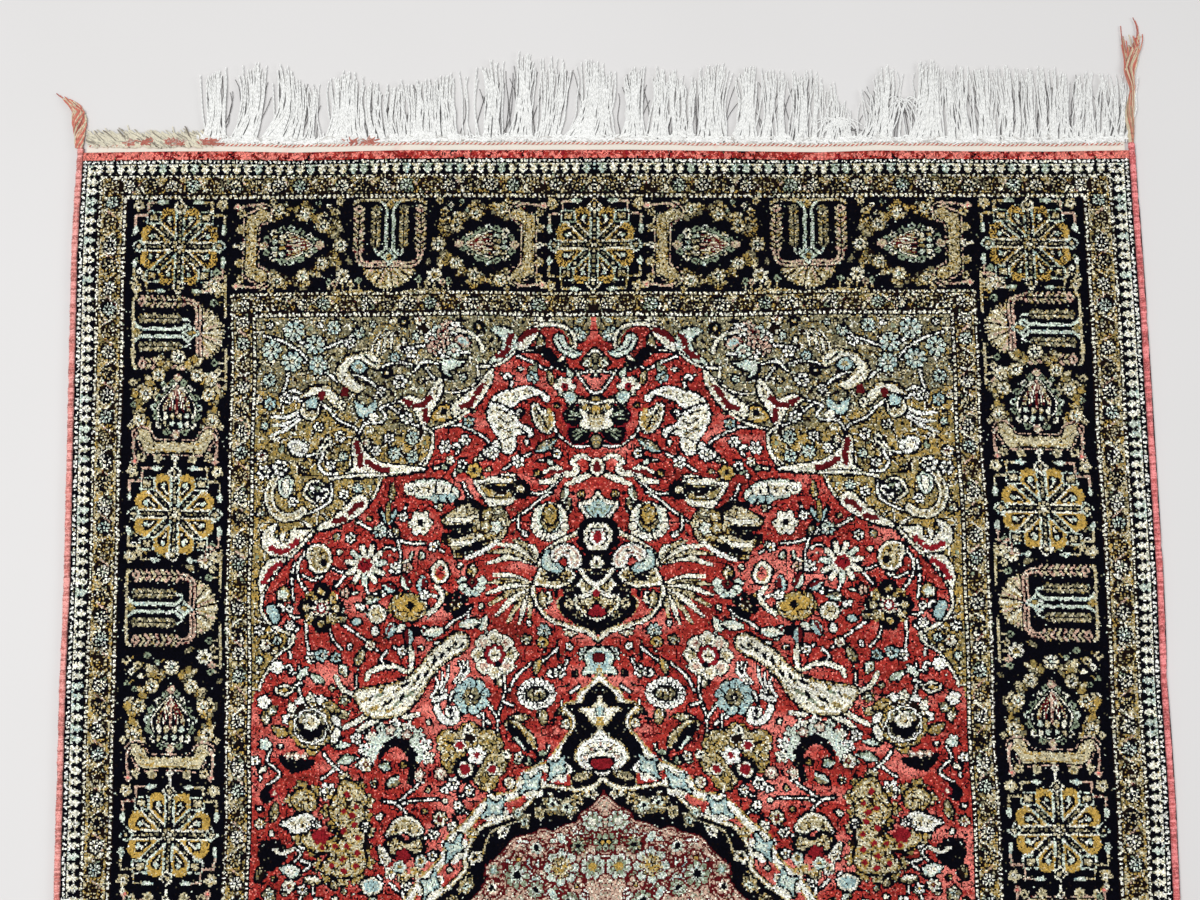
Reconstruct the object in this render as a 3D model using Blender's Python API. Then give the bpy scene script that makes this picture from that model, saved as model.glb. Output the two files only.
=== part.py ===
"""Persian rug: knotted body, overcast sides, stitched ends, fringes and corner tassels.

The rug lies flat on the floor, its width along X and its length along Y, with the
origin at the middle of its underside. Metres, +Z up. The far end (+Y) follows the
photo; the near end, which the photo cuts off, is its mirror image.
"""

import math
import random

import bmesh
import bpy

# ---------------------------------------------------------------- driving sizes
PILE_HALF_LENGTH = 0.805      # middle of the rug to the end of the pile
KILIM_LENGTH = 0.0105         # flat-woven end beyond the pile
PILE_THICKNESS = 0.006
KILIM_THICKNESS = 0.002
KILIM_INSET = 0.0024          # the flat weave is drawn in at each side
PILE_SHOULDER = 0.0014        # rounding of the pile's cut edge
PILE_CUT = 0.0005             # the last row of pile stands this steeply over the kilim
SELVEDGE_WIDTH = 0.0064
SELVEDGE_THICKNESS = 0.0052
SELVEDGE_OVERHANG = 0.0030    # the side cord runs on past the end of the pile
GAP = 0.0003                  # clearance between pieces that touch

STITCH_WIDTH = 0.0030
STITCH_HEIGHT = 0.0016
STITCH_FROM_EDGE = 0.0034     # from the kilim's end in to the stitch line
STITCH_INSET = 0.0025         # from the kilim's sides
STITCH_STEPS = 66

FRINGE_STRANDS = 126          # at each end
FRINGE_SEGMENTS = 6
FRINGE_STRIP = 0.0030         # width of the strip that holds the roots
FRINGE_HEIGHT = 0.0019
STRAND_WIDTH = 0.0030
FRINGE_INSET = 0.0135         # from the rug's side in to the first strand
CLUMP_SIZES = (4, 9)          # fewest and most strands that lie together
CLUMP_DRAW = 0.42             # how far a clump's tips draw together
WAVE_SIZE = 0.0026
SLANT_GROWS_OVER = 8          # strands at the left end before the short ones lean fully

TASSEL_STRANDS = 5
TASSEL_SEGMENTS = 6
TASSEL_STRAND_WIDTH = 0.0017
HEAD_LENGTH = 0.0125
HEAD_DRAW = 0.62              # width of the head at the side cord, as a share of its front
HEAD_HEIGHT = 0.0036

# The sides are uneven. Columns: distance from the end of the pile, then the rug's
# left and right outer edge, all in millimetres.
SIDE_TABLE = (
    # from_end, left, right
    (-12.0, -527.4, 521.0),
    (0.0, -527.7, 521.6),
    (60.0, -529.6, 522.8),
    (105.0, -530.4, 524.0),
    (170.0, -529.6, 525.8),
    (300.0, -528.3, 527.6),
    (425.0, -526.8, 530.1),
    (525.0, -527.7, 529.2),
    (630.0, -527.0, 531.6),
    (805.0, -525.8, 531.9),
)

# The end of the pile wanders a little. Columns: place across the rug, from -1 at the
# left side to 1 at the right, then millimetres towards the far end.
END_TABLE = (
    # across, shift
    (-1.00, -0.8),
    (-0.90, -0.4),
    (-0.66, 1.3),
    (-0.30, 0.7),
    (0.05, 0.3),
    (0.40, 0.8),
    (0.66, -0.4),
    (0.90, -1.5),
    (1.00, -0.9),
)

# Length of the far fringe. Columns: X and strand length beyond the kilim, in millimetres.
FRINGE_TABLE = (
    # x, length
    (-520.0, 13.0), (-470.0, 12.0), (-425.0, 15.0), (-412.0, 32.0), (-400.0, 68.0),
    (-354.0, 76.0), (-318.0, 68.0), (-294.0, 54.0), (-264.0, 69.0), (-214.0, 56.0),
    (-158.0, 63.0), (-114.0, 76.0), (-84.0, 86.0), (-44.0, 82.0), (-9.0, 77.0),
    (7.0, 59.0), (31.0, 71.0), (82.0, 60.0), (112.0, 77.0), (160.0, 67.0),
    (205.0, 66.0), (222.0, 58.0), (240.0, 34.0), (258.0, 62.0), (276.0, 71.0),
    (316.0, 74.0), (361.0, 69.0), (416.0, 73.0), (470.0, 66.0), (520.0, 55.0),
)

# Middle line of each far tassel past its head, in millimetres. Columns: distance past
# the head, distance outward from the side cord's middle line, width of the spread.
TASSEL_LEFT = (
    # along, out, spread
    (0.0, 0.0, 9.4),
    (12.0, 1.0, 9.6),
    (24.0, 6.0, 10.0),
    (35.0, 15.0, 11.0),
    (52.0, 31.0, 13.0),
)
TASSEL_RIGHT = (
    # along, out, spread
    (0.0, 0.0, 9.4),
    (20.0, 4.0, 9.6),
    (45.0, 8.5, 10.0),
    (66.0, 10.0, 13.0),
    (100.0, 11.0, 27.0),
    (118.0, 11.5, 30.0),
)

MM = 0.001


# ---------------------------------------------------------------- helpers
def smooth_table(table, at, column):
    """The table's column at a place, eased between its rows."""
    if at <= table[0][0]:
        return table[0][column]
    for low, high in zip(table, table[1:]):
        if at <= high[0]:
            t = (at - low[0]) / (high[0] - low[0])
            ease = t * t * (3.0 - 2.0 * t)
            return low[column] + (high[column] - low[column]) * ease
    return table[-1][column]


def straight_table(table, at, column):
    """The table's column at a place, in straight lines between its rows."""
    if at <= table[0][0]:
        return table[0][column]
    for low, high in zip(table, table[1:]):
        if at <= high[0]:
            t = (at - low[0]) / (high[0] - low[0])
            return low[column] + (high[column] - low[column]) * t
    return table[-1][column]


def side_x(y, side):
    """X of the rug's outer edge at a distance y from the middle; side is -1 or 1."""
    from_end = (PILE_HALF_LENGTH - abs(y)) / MM
    return straight_table(SIDE_TABLE, from_end, 1 if side < 0 else 2) * MM


def body_sides(y):
    """Left and right side of the knotted body, inside the side cords."""
    inset = SELVEDGE_WIDTH + GAP
    return side_x(y, -1) + inset, side_x(y, 1) - inset


def kilim_sides():
    """Left and right side of the flat-woven end."""
    left, right = body_sides(PILE_HALF_LENGTH + KILIM_LENGTH)
    return left + KILIM_INSET, right - KILIM_INSET


def end_shift(x):
    """How far the end of the rug stands out at x."""
    left, right = kilim_sides()
    across = 2.0 * (x - left) / (right - left) - 1.0
    return straight_table(END_TABLE, across, 1) * MM


def new_material(name, colour, roughness):
    """A plain Principled material for one kind of yarn."""
    material = bpy.data.materials.new(name)
    material.use_nodes = True
    shader = material.node_tree.nodes["Principled BSDF"]
    shader.inputs["Base Color"].default_value = (*colour, 1.0)
    shader.inputs["Roughness"].default_value = roughness
    shader.inputs["Metallic"].default_value = 0.0
    return material


def add_object(name, bm, material):
    """Turn a bmesh into a named object with its material."""
    bmesh.ops.recalc_face_normals(bm, faces=bm.faces)
    mesh = bpy.data.meshes.new(name)
    bm.to_mesh(mesh)
    bm.free()
    mesh.materials.append(material)
    piece = bpy.data.objects.new(name, mesh)
    bpy.context.collection.objects.link(piece)
    return piece


def extrude_along(bm, cap, rings):
    """Draw a face out through the rings that follow it."""
    for ring in rings:
        cap = bmesh.ops.extrude_discrete_faces(bm, faces=[cap])["faces"][0]
        for vertex, point in zip(cap.verts, ring):
            vertex.co = point


def sweep(rings):
    """A closed solid through a row of rings with as many points each."""
    bm = bmesh.new()
    start = [bm.verts.new(point) for point in rings[0]]
    extrude_along(bm, bm.faces.new(start), rings[1:])
    bm.faces.new(reversed(start))
    return bm


def mirrored(points):
    """The same ring at the other end of the rug."""
    return [(x, -y, z) for x, y, z in points]


# ---------------------------------------------------------------- the woven body
def pile_places():
    """Places along Y where the sides change course, from the middle to the far end."""
    return [PILE_HALF_LENGTH - row[0] * MM for row in reversed(SIDE_TABLE) if row[0] > 0.0]


def body_stations():
    """(place along Y, height, how much of the end's waver it takes), near to far."""
    end = PILE_HALF_LENGTH
    half = [(y, PILE_THICKNESS, (y / end) ** 8) for y in pile_places()]
    half += [
        (end - PILE_SHOULDER, PILE_THICKNESS, 1.0),
        (end, PILE_THICKNESS - PILE_SHOULDER, 1.0),
        (end + PILE_CUT, KILIM_THICKNESS, 1.0),
        (end + KILIM_LENGTH, KILIM_THICKNESS, 1.0),
    ]
    near = [(-y, z, waver) for y, z, waver in reversed(half[1:])]
    return near + half


def body_ring(y, height, waver):
    """The body's section at y: flat below, rounded at the sides above."""
    left, right = kilim_sides() if height == KILIM_THICKNESS else body_sides(y)
    shoulder = min(PILE_SHOULDER, height * 0.3)
    sign = math.copysign(1.0, y)
    lower = []
    upper = []
    for across, shift in END_TABLE:
        x = left + (right - left) * (across + 1.0) / 2.0
        place = y + sign * waver * shift * MM
        lower.append((x, place, 0.0))
        x_top = min(max(x, left + shoulder), right - shoulder)
        upper.append((x_top, place, height))
    right_shoulder = (right, lower[-1][1], height - shoulder)
    left_shoulder = (left, lower[0][1], height - shoulder)
    return lower + [right_shoulder] + upper[::-1] + [left_shoulder]


def split_end_faces(bm):
    """Cut both end faces into columns, so that they follow the wavering end."""
    columns = len(END_TABLE)
    ring_size = 2 * columns + 2
    bm.verts.ensure_lookup_table()
    for first in (0, len(bm.verts) - ring_size):
        for i in range(1, columns - 1):
            low = bm.verts[first + i]
            high = bm.verts[first + 2 * columns - i]
            bmesh.ops.connect_verts(bm, verts=[low, high])


def make_body(material):
    bm = sweep([body_ring(*station) for station in body_stations()])
    split_end_faces(bm)
    return add_object("rug_body", bm, material)


# ---------------------------------------------------------------- side cords
def selvedge_ring(y, side):
    """A flattened cord's section, its flat side down."""
    outer = side_x(y, side)
    middle = outer - side * SELVEDGE_WIDTH / 2.0
    half = SELVEDGE_WIDTH / 2.0
    high = SELVEDGE_THICKNESS
    outline = (
        (-0.62, 0.0), (0.62, 0.0), (1.0, 0.45), (0.62, 0.9), (0.0, 1.0), (-0.62, 0.9), (-1.0, 0.45),
    )
    return [(middle + across * half, y, up * high) for across, up in outline]


def make_selvedge(name, side, material):
    half = pile_places() + [PILE_HALF_LENGTH, PILE_HALF_LENGTH + SELVEDGE_OVERHANG]
    places = [-y for y in reversed(half[1:])] + half
    return add_object(name, sweep([selvedge_ring(y, side) for y in places]), material)


# ---------------------------------------------------------------- stitch lines
def stitch_rings():
    """A thin cord that lies along the kilim end and wavers a little."""
    y_line = PILE_HALF_LENGTH + KILIM_LENGTH - STITCH_FROM_EDGE
    left, right = kilim_sides()
    left += STITCH_INSET
    right -= STITCH_INSET
    foot = KILIM_THICKNESS + GAP
    rings = []
    for i in range(STITCH_STEPS + 1):
        t = i / STITCH_STEPS
        x = left + (right - left) * t
        y = y_line + end_shift(x) + 0.0004 * math.sin(i * 1.9)
        swell = 1.0 if i % 2 else 0.84
        half = STITCH_WIDTH / 2.0 * swell
        rings.append([
            (x, y - half, foot),
            (x, y + half, foot),
            (x, y + half * 0.5, foot + STITCH_HEIGHT * swell),
            (x, y - half * 0.5, foot + STITCH_HEIGHT * swell),
        ])
    return rings


def make_stitches(material):
    far = stitch_rings()
    add_object("end_stitch_top", sweep(far), material)
    near = [mirrored(ring) for ring in far]
    add_object("end_stitch_bottom", sweep(near), material)


# ---------------------------------------------------------------- fringes and tassels
def strand_ring(centre, heading, width, height):
    """A three-sided strand's section: flat on the floor, with a ridge on top."""
    across = (-heading[1] * width / 2.0, heading[0] * width / 2.0)
    return [
        (centre[0] + across[0], centre[1] + across[1], 0.0),
        (centre[0], centre[1], height),
        (centre[0] - across[0], centre[1] - across[1], 0.0),
    ]


def strand_rings(path, width, height):
    """Sections along a strand's path, thinner towards the tip."""
    rings = []
    last = len(path) - 1
    for k, centre in enumerate(path):
        before = path[max(k - 1, 0)]
        after = path[min(k + 1, last)]
        heading = (after[0] - before[0], after[1] - before[1])
        if k == 0:
            heading = (0.0, 1.0)
        size = math.hypot(*heading)
        heading = (heading[0] / size, heading[1] / size)
        taper = 1.0 - 0.35 * k / last
        rings.append(strand_ring(centre, heading, width * taper, height * taper))
    return rings


def rooted_strands(paths, width, height, back_points):
    """Strands fused side by side into one strip.

    back_points holds a point behind each strand's root, on the strip's back edge.
    """
    bm = bmesh.new()
    roots = []
    backs = []
    strands = [strand_rings(path, width, height) for path in paths]
    for rings, back in zip(strands, back_points):
        roots.append([bm.verts.new(point) for point in rings[0]])
        backs.append([bm.verts.new((back[0], back[1], z)) for z in (0.0, height)])
    for i in range(len(roots) - 1):
        left, top, right = roots[i]
        next_left, next_top, _ = roots[i + 1]
        low, high = backs[i]
        next_low, next_high = backs[i + 1]
        bm.faces.new((top, right, next_left, next_top))
        bm.faces.new((top, next_top, next_high, high))
        bm.faces.new((low, high, next_high, next_low))
        bm.faces.new((low, next_low, next_left, right))
        bm.faces.new((low, right, left))
    left, top, right = roots[-1]
    low, high = backs[-1]
    bm.faces.new((low, right, left))
    bm.faces.new((low, high, top, right))
    left, top, _ = roots[0]
    low, high = backs[0]
    bm.faces.new((left, top, high, low))
    for root, rings in zip(roots, strands):
        extrude_along(bm, bm.faces.new(root), rings[1:])
    return bm


def clump_places(rng):
    """For each strand: its clump's number, and its place from the clump's middle."""
    places = []
    clump = 0
    while len(places) < FRINGE_STRANDS:
        size = min(rng.randint(*CLUMP_SIZES), FRINGE_STRANDS - len(places))
        places += [(clump, j - (size - 1) / 2.0) for j in range(size)]
        clump += 1
    return places


def fringe_paths():
    """The far fringe's strands, from left to right, each a list of (x, y)."""
    rng = random.Random(41)
    y_root = PILE_HALF_LENGTH + KILIM_LENGTH + GAP + FRINGE_STRIP
    left = side_x(PILE_HALF_LENGTH, -1) + FRINGE_INSET
    right = side_x(PILE_HALF_LENGTH, 1) - FRINGE_INSET
    pitch = (right - left) / (FRINGE_STRANDS - 1)
    places = clump_places(rng)
    phases = [rng.uniform(0.0, math.tau) for _ in range(FRINGE_STRANDS)]
    leans = [rng.uniform(-0.0025, 0.0025) for _ in range(FRINGE_STRANDS)]
    paths = []
    for i, (clump, place) in enumerate(places):
        x_root = left + pitch * i
        length = smooth_table(FRINGE_TABLE, x_root / MM, 1) * MM
        length += rng.uniform(-0.0045, 0.0035) * min(length / 0.05, 1.0)
        reach = min(length / 0.07, 1.0)
        slant = -0.5 * min(i / SLANT_GROWS_OVER, 1.0) if length < 0.03 else 0.0
        base = y_root + end_shift(x_root)
        path = []
        for k in range(FRINGE_SEGMENTS + 1):
            t = k / FRINGE_SEGMENTS
            draw = -CLUMP_DRAW * pitch * place * t ** 1.3 * reach
            wave = WAVE_SIZE * t * reach * math.sin(phases[clump] + 5.2 * t)
            lean = leans[clump] * t * reach + slant * length * t
            path.append((x_root + draw + wave + lean, base + length * t))
        paths.append(path)
    return paths


def fringe_back(path):
    """The point on the strip's back edge behind a strand's root."""
    return (path[0][0], path[0][1] - FRINGE_STRIP)


def make_fringes(material):
    far = fringe_paths()
    for name, sign in (("fringe_top", 1.0), ("fringe_bottom", -1.0)):
        bm = rooted_strands(far, STRAND_WIDTH, FRINGE_HEIGHT, [fringe_back(path) for path in far])
        if sign < 0.0:
            bmesh.ops.scale(bm, vec=(1.0, -1.0, 1.0), verts=bm.verts)
        add_object(name, bm, material)


def tassel_root(side):
    """The middle of a far tassel's front, where its strands start."""
    x = side_x(PILE_HALF_LENGTH, side) - side * SELVEDGE_WIDTH / 2.0
    return x, PILE_HALF_LENGTH + SELVEDGE_OVERHANG + GAP + HEAD_LENGTH


def tassel_paths(table, side):
    """A far tassel's strands past its head, from left to right."""
    rng = random.Random(17 if side < 0 else 23)
    x_root, y_root = tassel_root(side)
    total = table[-1][0]
    paths = []
    for i in range(TASSEL_STRANDS):
        place = i / (TASSEL_STRANDS - 1) - 0.5
        longest = side > 0 and i == 0
        reach = 1.0 if longest else rng.uniform(0.76, 0.90)
        path = []
        for k in range(TASSEL_SEGMENTS + 1):
            along = total * reach * k / TASSEL_SEGMENTS
            out = smooth_table(table, along, 1)
            turn = math.atan2(smooth_table(table, along + 2.0, 1) - out, 2.0) * side
            spread = smooth_table(table, along, 2) * place
            x = x_root + (side * out + spread * math.cos(turn)) * MM
            y = y_root + (along - spread * math.sin(turn)) * MM
            path.append((x, y))
        paths.append(path)
    return paths


def tassel_back(path, side):
    """The point at the side cord's end that a strand's root runs back to."""
    x_middle, y_front = tassel_root(side)
    return (x_middle + (path[0][0] - x_middle) * HEAD_DRAW, y_front - HEAD_LENGTH)


def make_tassels(material):
    corners = (
        ("corner_tassel_top_left", TASSEL_LEFT, -1, 1.0),
        ("corner_tassel_top_right", TASSEL_RIGHT, 1, 1.0),
        ("corner_tassel_bottom_left", TASSEL_LEFT, -1, -1.0),
        ("corner_tassel_bottom_right", TASSEL_RIGHT, 1, -1.0),
    )
    for name, table, side, end in corners:
        paths = tassel_paths(table, side)
        backs = [tassel_back(path, side) for path in paths]
        bm = rooted_strands(paths, TASSEL_STRAND_WIDTH, HEAD_HEIGHT, backs)
        if end < 0.0:
            bmesh.ops.scale(bm, vec=(1.0, -1.0, 1.0), verts=bm.verts)
        add_object(name, bm, material)


# ---------------------------------------------------------------- the rug
def centre_on_origin():
    """Slide the whole rug so that its box is centred across the origin."""
    pieces = [piece for piece in bpy.data.objects if piece.type == "MESH"]
    xs = [vertex.co.x for piece in pieces for vertex in piece.data.vertices]
    shift = (min(xs) + max(xs)) / 2.0
    for piece in pieces:
        for vertex in piece.data.vertices:
            vertex.co.x -= shift


def main():
    for old in list(bpy.data.objects):
        bpy.data.objects.remove(old, do_unlink=True)
    pile = new_material("wool_pile", (0.30, 0.055, 0.045), 0.85)
    selvedge = new_material("selvedge_yarn", (0.62, 0.14, 0.11), 0.9)
    fringe = new_material("warp_cotton", (0.78, 0.76, 0.68), 0.9)
    stitch = new_material("stitch_yarn", (0.60, 0.20, 0.15), 0.9)
    tassel = new_material("tassel_yarn", (0.55, 0.30, 0.24), 0.9)
    make_body(pile)
    make_selvedge("selvedge_left", -1, selvedge)
    make_selvedge("selvedge_right", 1, selvedge)
    make_stitches(stitch)
    make_fringes(fringe)
    make_tassels(tassel)
    centre_on_origin()


main()
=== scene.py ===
"""A hand-knotted pictorial rug, dressed on its CAD frame: pile, flat weave, cords, fringe and tassels."""

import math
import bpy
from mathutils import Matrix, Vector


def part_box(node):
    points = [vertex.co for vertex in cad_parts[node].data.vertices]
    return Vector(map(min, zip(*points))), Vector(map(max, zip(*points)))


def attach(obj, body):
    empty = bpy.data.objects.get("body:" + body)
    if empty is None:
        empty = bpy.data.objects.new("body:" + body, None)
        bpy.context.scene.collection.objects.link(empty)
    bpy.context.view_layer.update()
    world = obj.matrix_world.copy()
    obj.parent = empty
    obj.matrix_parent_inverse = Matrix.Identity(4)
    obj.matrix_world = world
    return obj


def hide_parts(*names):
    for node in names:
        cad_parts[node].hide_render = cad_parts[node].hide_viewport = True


bl_info = {
    "name": "Persian rug",
    "version": (1, 0, 0),
    "blender": (4, 5, 0),
    "location": "View3D > Sidebar > Rug",
    "description": "Knots, binds and fringes a pictorial rug on its packed frame",
    "category": "Add Mesh",
}

import bpy
import numpy as np
from mathutils import Matrix

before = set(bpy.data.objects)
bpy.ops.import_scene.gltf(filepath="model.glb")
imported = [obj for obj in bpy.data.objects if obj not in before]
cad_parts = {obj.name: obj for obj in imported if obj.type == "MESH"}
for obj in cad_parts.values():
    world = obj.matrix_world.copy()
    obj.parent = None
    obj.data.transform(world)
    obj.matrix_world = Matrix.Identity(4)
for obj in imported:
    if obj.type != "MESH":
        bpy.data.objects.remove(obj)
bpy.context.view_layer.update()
BODY_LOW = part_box("rug_body")[0]

# ---------------------------------------------------------------- the knot chart
# The pattern is drawn as a weaver's chart, in millimetres from the rug's middle. One quarter of it is
# drawn, with x from -518 at the left edge to 0 on the middle line and y from 0 up to 805 at the end.
(NAVY, IVORY, BEIGE, RED, CRIMSON, MAROON, OCHRE, OLIVE,
 MOSS, TURQUOISE, MINT, SALMON, BROWN, SAGE, ROSE, WHITE) = range(16)
HALF_WIDTH = 518.0
HALF_LENGTH = 805.0
QUARTER_KNOTS = (416, 640)
KNOT = (HALF_WIDTH / QUARTER_KNOTS[0], HALF_LENGTH / QUARTER_KNOTS[1])
RAGGED = 1.5        # how far a knotted edge strays from the drawn one, mm
LINE = 2.0          # the width of a dark outline, mm
OVERLAP = 8.0       # how far a shape may reach over the middle line, mm


def dots(points):
    """Pairs of x and y, from a flat row of numbers or from pairs."""
    return np.asarray(points, float).reshape(-1, 2)


def smooth(points, closed=False, steps=5):
    """Points of a soft curve through the given ones."""
    p = dots(points)
    if len(p) < 3:
        return p
    if closed:
        q = np.vstack([p[-1], p, p[0], p[1]])
    else:
        q = np.vstack([2 * p[0] - p[1], p, 2 * p[-1] - p[-2]])
    t = (np.arange(steps) / steps)[:, None]
    out = []
    for a, b, c, d in zip(q[:-3], q[1:-2], q[2:-1], q[3:]):
        out.append(0.5 * (2 * b + (c - a) * t + (2 * a - 5 * b + 4 * c - d) * t ** 2
            + (3 * b - a - 3 * c + d) * t ** 3))
    if not closed:
        out.append(p[-1:])
    return np.vstack(out)


def cloud(rng, cell):
    """Soft noise over the chart from 0 to 1, its blots about cell knots wide."""
    rows, cols = QUARTER_KNOTS[1] // cell + 3, QUARTER_KNOTS[0] // cell + 3
    grid = rng.random((rows, cols))
    r, c = np.arange(QUARTER_KNOTS[1]) / cell, np.arange(QUARTER_KNOTS[0]) / cell
    r0, c0 = r.astype(int), c.astype(int)
    fr, fc = (r - r0)[:, None], (c - c0)[None, :]
    fr, fc = fr * fr * (3 - 2 * fr), fc * fc * (3 - 2 * fc)
    near = grid[np.ix_(r0, c0)] * (1 - fc) + grid[np.ix_(r0, c0 + 1)] * fc
    far = grid[np.ix_(r0 + 1, c0)] * (1 - fc) + grid[np.ix_(r0 + 1, c0 + 1)] * fc
    return near * (1 - fr) + far * fr


class Chart:
    """A quarter of the knot chart and the ways to draw on it."""

    def __init__(self):
        self.code = np.full((QUARTER_KNOTS[1], QUARTER_KNOTS[0]), NAVY, np.uint8)
        self.x = -HALF_WIDTH + (np.arange(QUARTER_KNOTS[0]) + 0.5) * KNOT[0]
        self.y = (np.arange(QUARTER_KNOTS[1]) + 0.5) * KNOT[1]
        self.keep = None
        rng = np.random.default_rng(3)
        self.ragged = [RAGGED * (cloud(rng, 2) + 0.5 * cloud(rng, 5) + 0.6 * rng.random(self.code.shape)
            - 1.05) for _ in range(4)]

    def window(self, x0, x1, y0, y1):
        """The part of the chart between these millimetres."""
        c0, c1 = np.searchsorted(self.x, (x0, x1))
        r0, r1 = np.searchsorted(self.y, (y0, y1))
        return slice(r0, r1), slice(c0, c1)

    def put(self, rows, cols, mask, code):
        """Knot one colour where the mask says so."""
        if self.keep is not None:
            mask = mask & self.keep[rows, cols]
        self.code[rows, cols][mask] = code

    def paint(self, mask, code):
        """Knot one colour over the whole chart where the mask says so."""
        self.put(slice(None), slice(None), mask, code)

    def spread(self, points, margin):
        """The window round some points, with the place of each of its knots."""
        p = np.asarray(points, float)
        low, high = p.min(0) - margin, p.max(0) + margin
        rows, cols = self.window(low[0], high[0], low[1], high[1])
        x, y = np.meshgrid(self.x[cols], self.y[rows])
        return rows, cols, x, y

    def distance(self, points, closed, x, y):
        """Distance to a line of points, below zero inside a closed one, and the place along it."""
        p = np.asarray(points, float)
        a = p if closed else p[:-1]
        b = np.roll(p, -1, 0) if closed else p[1:]
        dx, dy = x[..., None] - a[:, 0], y[..., None] - a[:, 1]
        ex, ey = b[:, 0] - a[:, 0], b[:, 1] - a[:, 1]
        t = np.clip((dx * ex + dy * ey) / np.maximum(ex * ex + ey * ey, 1e-9), 0, 1)
        away = np.hypot(dx - t * ex, dy - t * ey)
        near = away.argmin(-1)
        best = np.take_along_axis(away, near[..., None], -1)[..., 0]
        place = (near + np.take_along_axis(t, near[..., None], -1)[..., 0]) / len(a)
        if closed:
            over = (a[:, 1] > y[..., None]) != (b[:, 1] > y[..., None])
            cut = a[:, 0] + (y[..., None] - a[:, 1]) * ex / np.where(ey == 0, 1e-9, ey)
            inside = (over & (x[..., None] < cut)).sum(-1) % 2 == 1
            best = np.where(inside, -best, best)
        return best, place

    def area(self, points, rings, soft=True):
        """A closed shape. Each ring is (distance from its edge, colour); below zero is inside it."""
        p = smooth(points, True) if soft else dots(points)
        if p[:, 0].min() > OVERLAP:
            return
        rows, cols, x, y = self.spread(p, max(r[0] for r in rings) + 1)
        if x.size == 0:
            return
        d, _ = self.distance(p, True, x, y)
        for k, (edge, code) in enumerate(rings):
            self.put(rows, cols, d + self.ragged[k % 4][rows, cols] <= edge, code)

    def shape(self, points, *rings):
        """A closed shape with a dark outline."""
        self.area(points, [(LINE, NAVY), *rings])

    def line(self, points, rings, soft=True, taper=0.0):
        """An open line. Each ring is (half width, colour); taper thins it towards its ends."""
        p = smooth(points) if soft else dots(points)
        if p[:, 0].min() > OVERLAP:
            return
        rows, cols, x, y = self.spread(p, max(r[0] for r in rings) + 1)
        if x.size == 0:
            return
        d, place = self.distance(p, False, x, y)
        thin = 1 - taper * np.abs(2 * place - 1)
        for k, (half, code) in enumerate(rings):
            self.put(rows, cols, d + 0.7 * self.ragged[k % 4][rows, cols] <= half * thin, code)

    def bloom(self, x0, y0, radius, petals, rings, depth=0.22, turn=0.0, squash=1.0, lean=0.0, split=None):
        """A flower. Each ring is (share of its radius, colour); a share over 1 is an edge round it."""
        if x0 > radius + OVERLAP:
            return
        rows, cols, x, y = self.spread([(x0 - radius, y0 - radius), (x0 + radius, y0 + radius)], 3)
        if x.size == 0:
            return
        dx, dy = x - x0, y - y0
        c, s = math.cos(lean), math.sin(lean)
        u, v = dx * c + dy * s, (dy * c - dx * s) / squash
        r, a = np.hypot(u, v), np.arctan2(v, u)
        wave = np.abs(np.cos(petals * (a - turn) / 2))
        edge = radius * (1 - depth + depth * wave)
        for k, (share, code) in enumerate(rings):
            limit = edge * share if share <= 1 else edge + (share - 1) * radius
            self.put(rows, cols, r + 0.8 * self.ragged[k % 4][rows, cols] <= limit, code)
        if split is not None:
            start, stop, code, *share = split
            self.put(rows, cols, (r > radius * start) & (r < edge * stop) & (wave < (share or (0.34,))[0]),
                code)


class Pen:
    """Draws a motif in its own frame, placed and turned on the chart."""

    def __init__(self, chart, x, y, turn=0.0):
        self.chart, self.x, self.y, self.turn = chart, x, y, math.radians(turn)

    def at(self, points):
        """The motif's points on the chart."""
        p = dots(points)
        c, s = math.cos(self.turn), math.sin(self.turn)
        return np.column_stack([self.x + p[:, 0] * c - p[:, 1] * s, self.y + p[:, 0] * s + p[:, 1] * c])

    def own(self, x, y, turn):
        """A pen at a place in this one's frame, turned from it."""
        return Pen(self.chart, *self.at((x, y))[0], math.degrees(self.turn) + turn)

    def area(self, points, rings, soft=True):
        self.chart.area(self.at(points), rings, soft)

    def line(self, points, rings, soft=True, taper=0.0):
        self.chart.line(self.at(points), rings, soft, taper)

    def bloom(self, x, y, radius, petals, rings, depth=0.22, turn=0.0, squash=1.0, lean=0.0, split=None):
        (px, py), = self.at((x, y))
        self.chart.bloom(px, py, radius, petals, rings, depth, turn + self.turn, squash, lean + self.turn,
            split)


def leaf(pen, x, y, turn, length, wide, code=MOSS, other=None, rim=NAVY, edge=LINE):
    """A pointed leaf that starts at x, y, with its second half in another colour."""
    own = pen.own(x, y, turn)
    half = [(wide * 0.5, length * 0.32), (wide * 0.42, length * 0.68)]
    own.area([(0, 0), *half, (0, length), *((-u, v) for u, v in reversed(half))], [(edge, rim), (0, code)])
    if other is not None:
        own.area([(0.3, 1), *half, (0.3, length)], [(-0.1, other)])


def vine(pen, points, core=WHITE, half=1.15):
    """A thin stem with dark edges."""
    pen.line(points, [(half + LINE, NAVY), (half, core)])


def curl(pen, x, y, turn, size, core=WHITE, half=1.1):
    """A tendril that rolls up."""
    a = np.linspace(0, 4.2, 9)
    r = size * 0.46 * (1 - a / 5.6)
    vine(pen.own(x, y, turn), np.column_stack([r * np.sin(a), size * 0.55 - r * np.cos(a)]), core, half)


def small_bloom(pen, x, y, radius, outer, inner, heart, petals, rim=NAVY):
    """A round blossom with a dark eye."""
    pen.bloom(x, y, radius, petals, [(1 + LINE / radius, rim), (1, outer), (0.42, inner), (0.22, heart)],
        depth=0.3, split=(0.38, 1.04, rim, 0.36))


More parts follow.
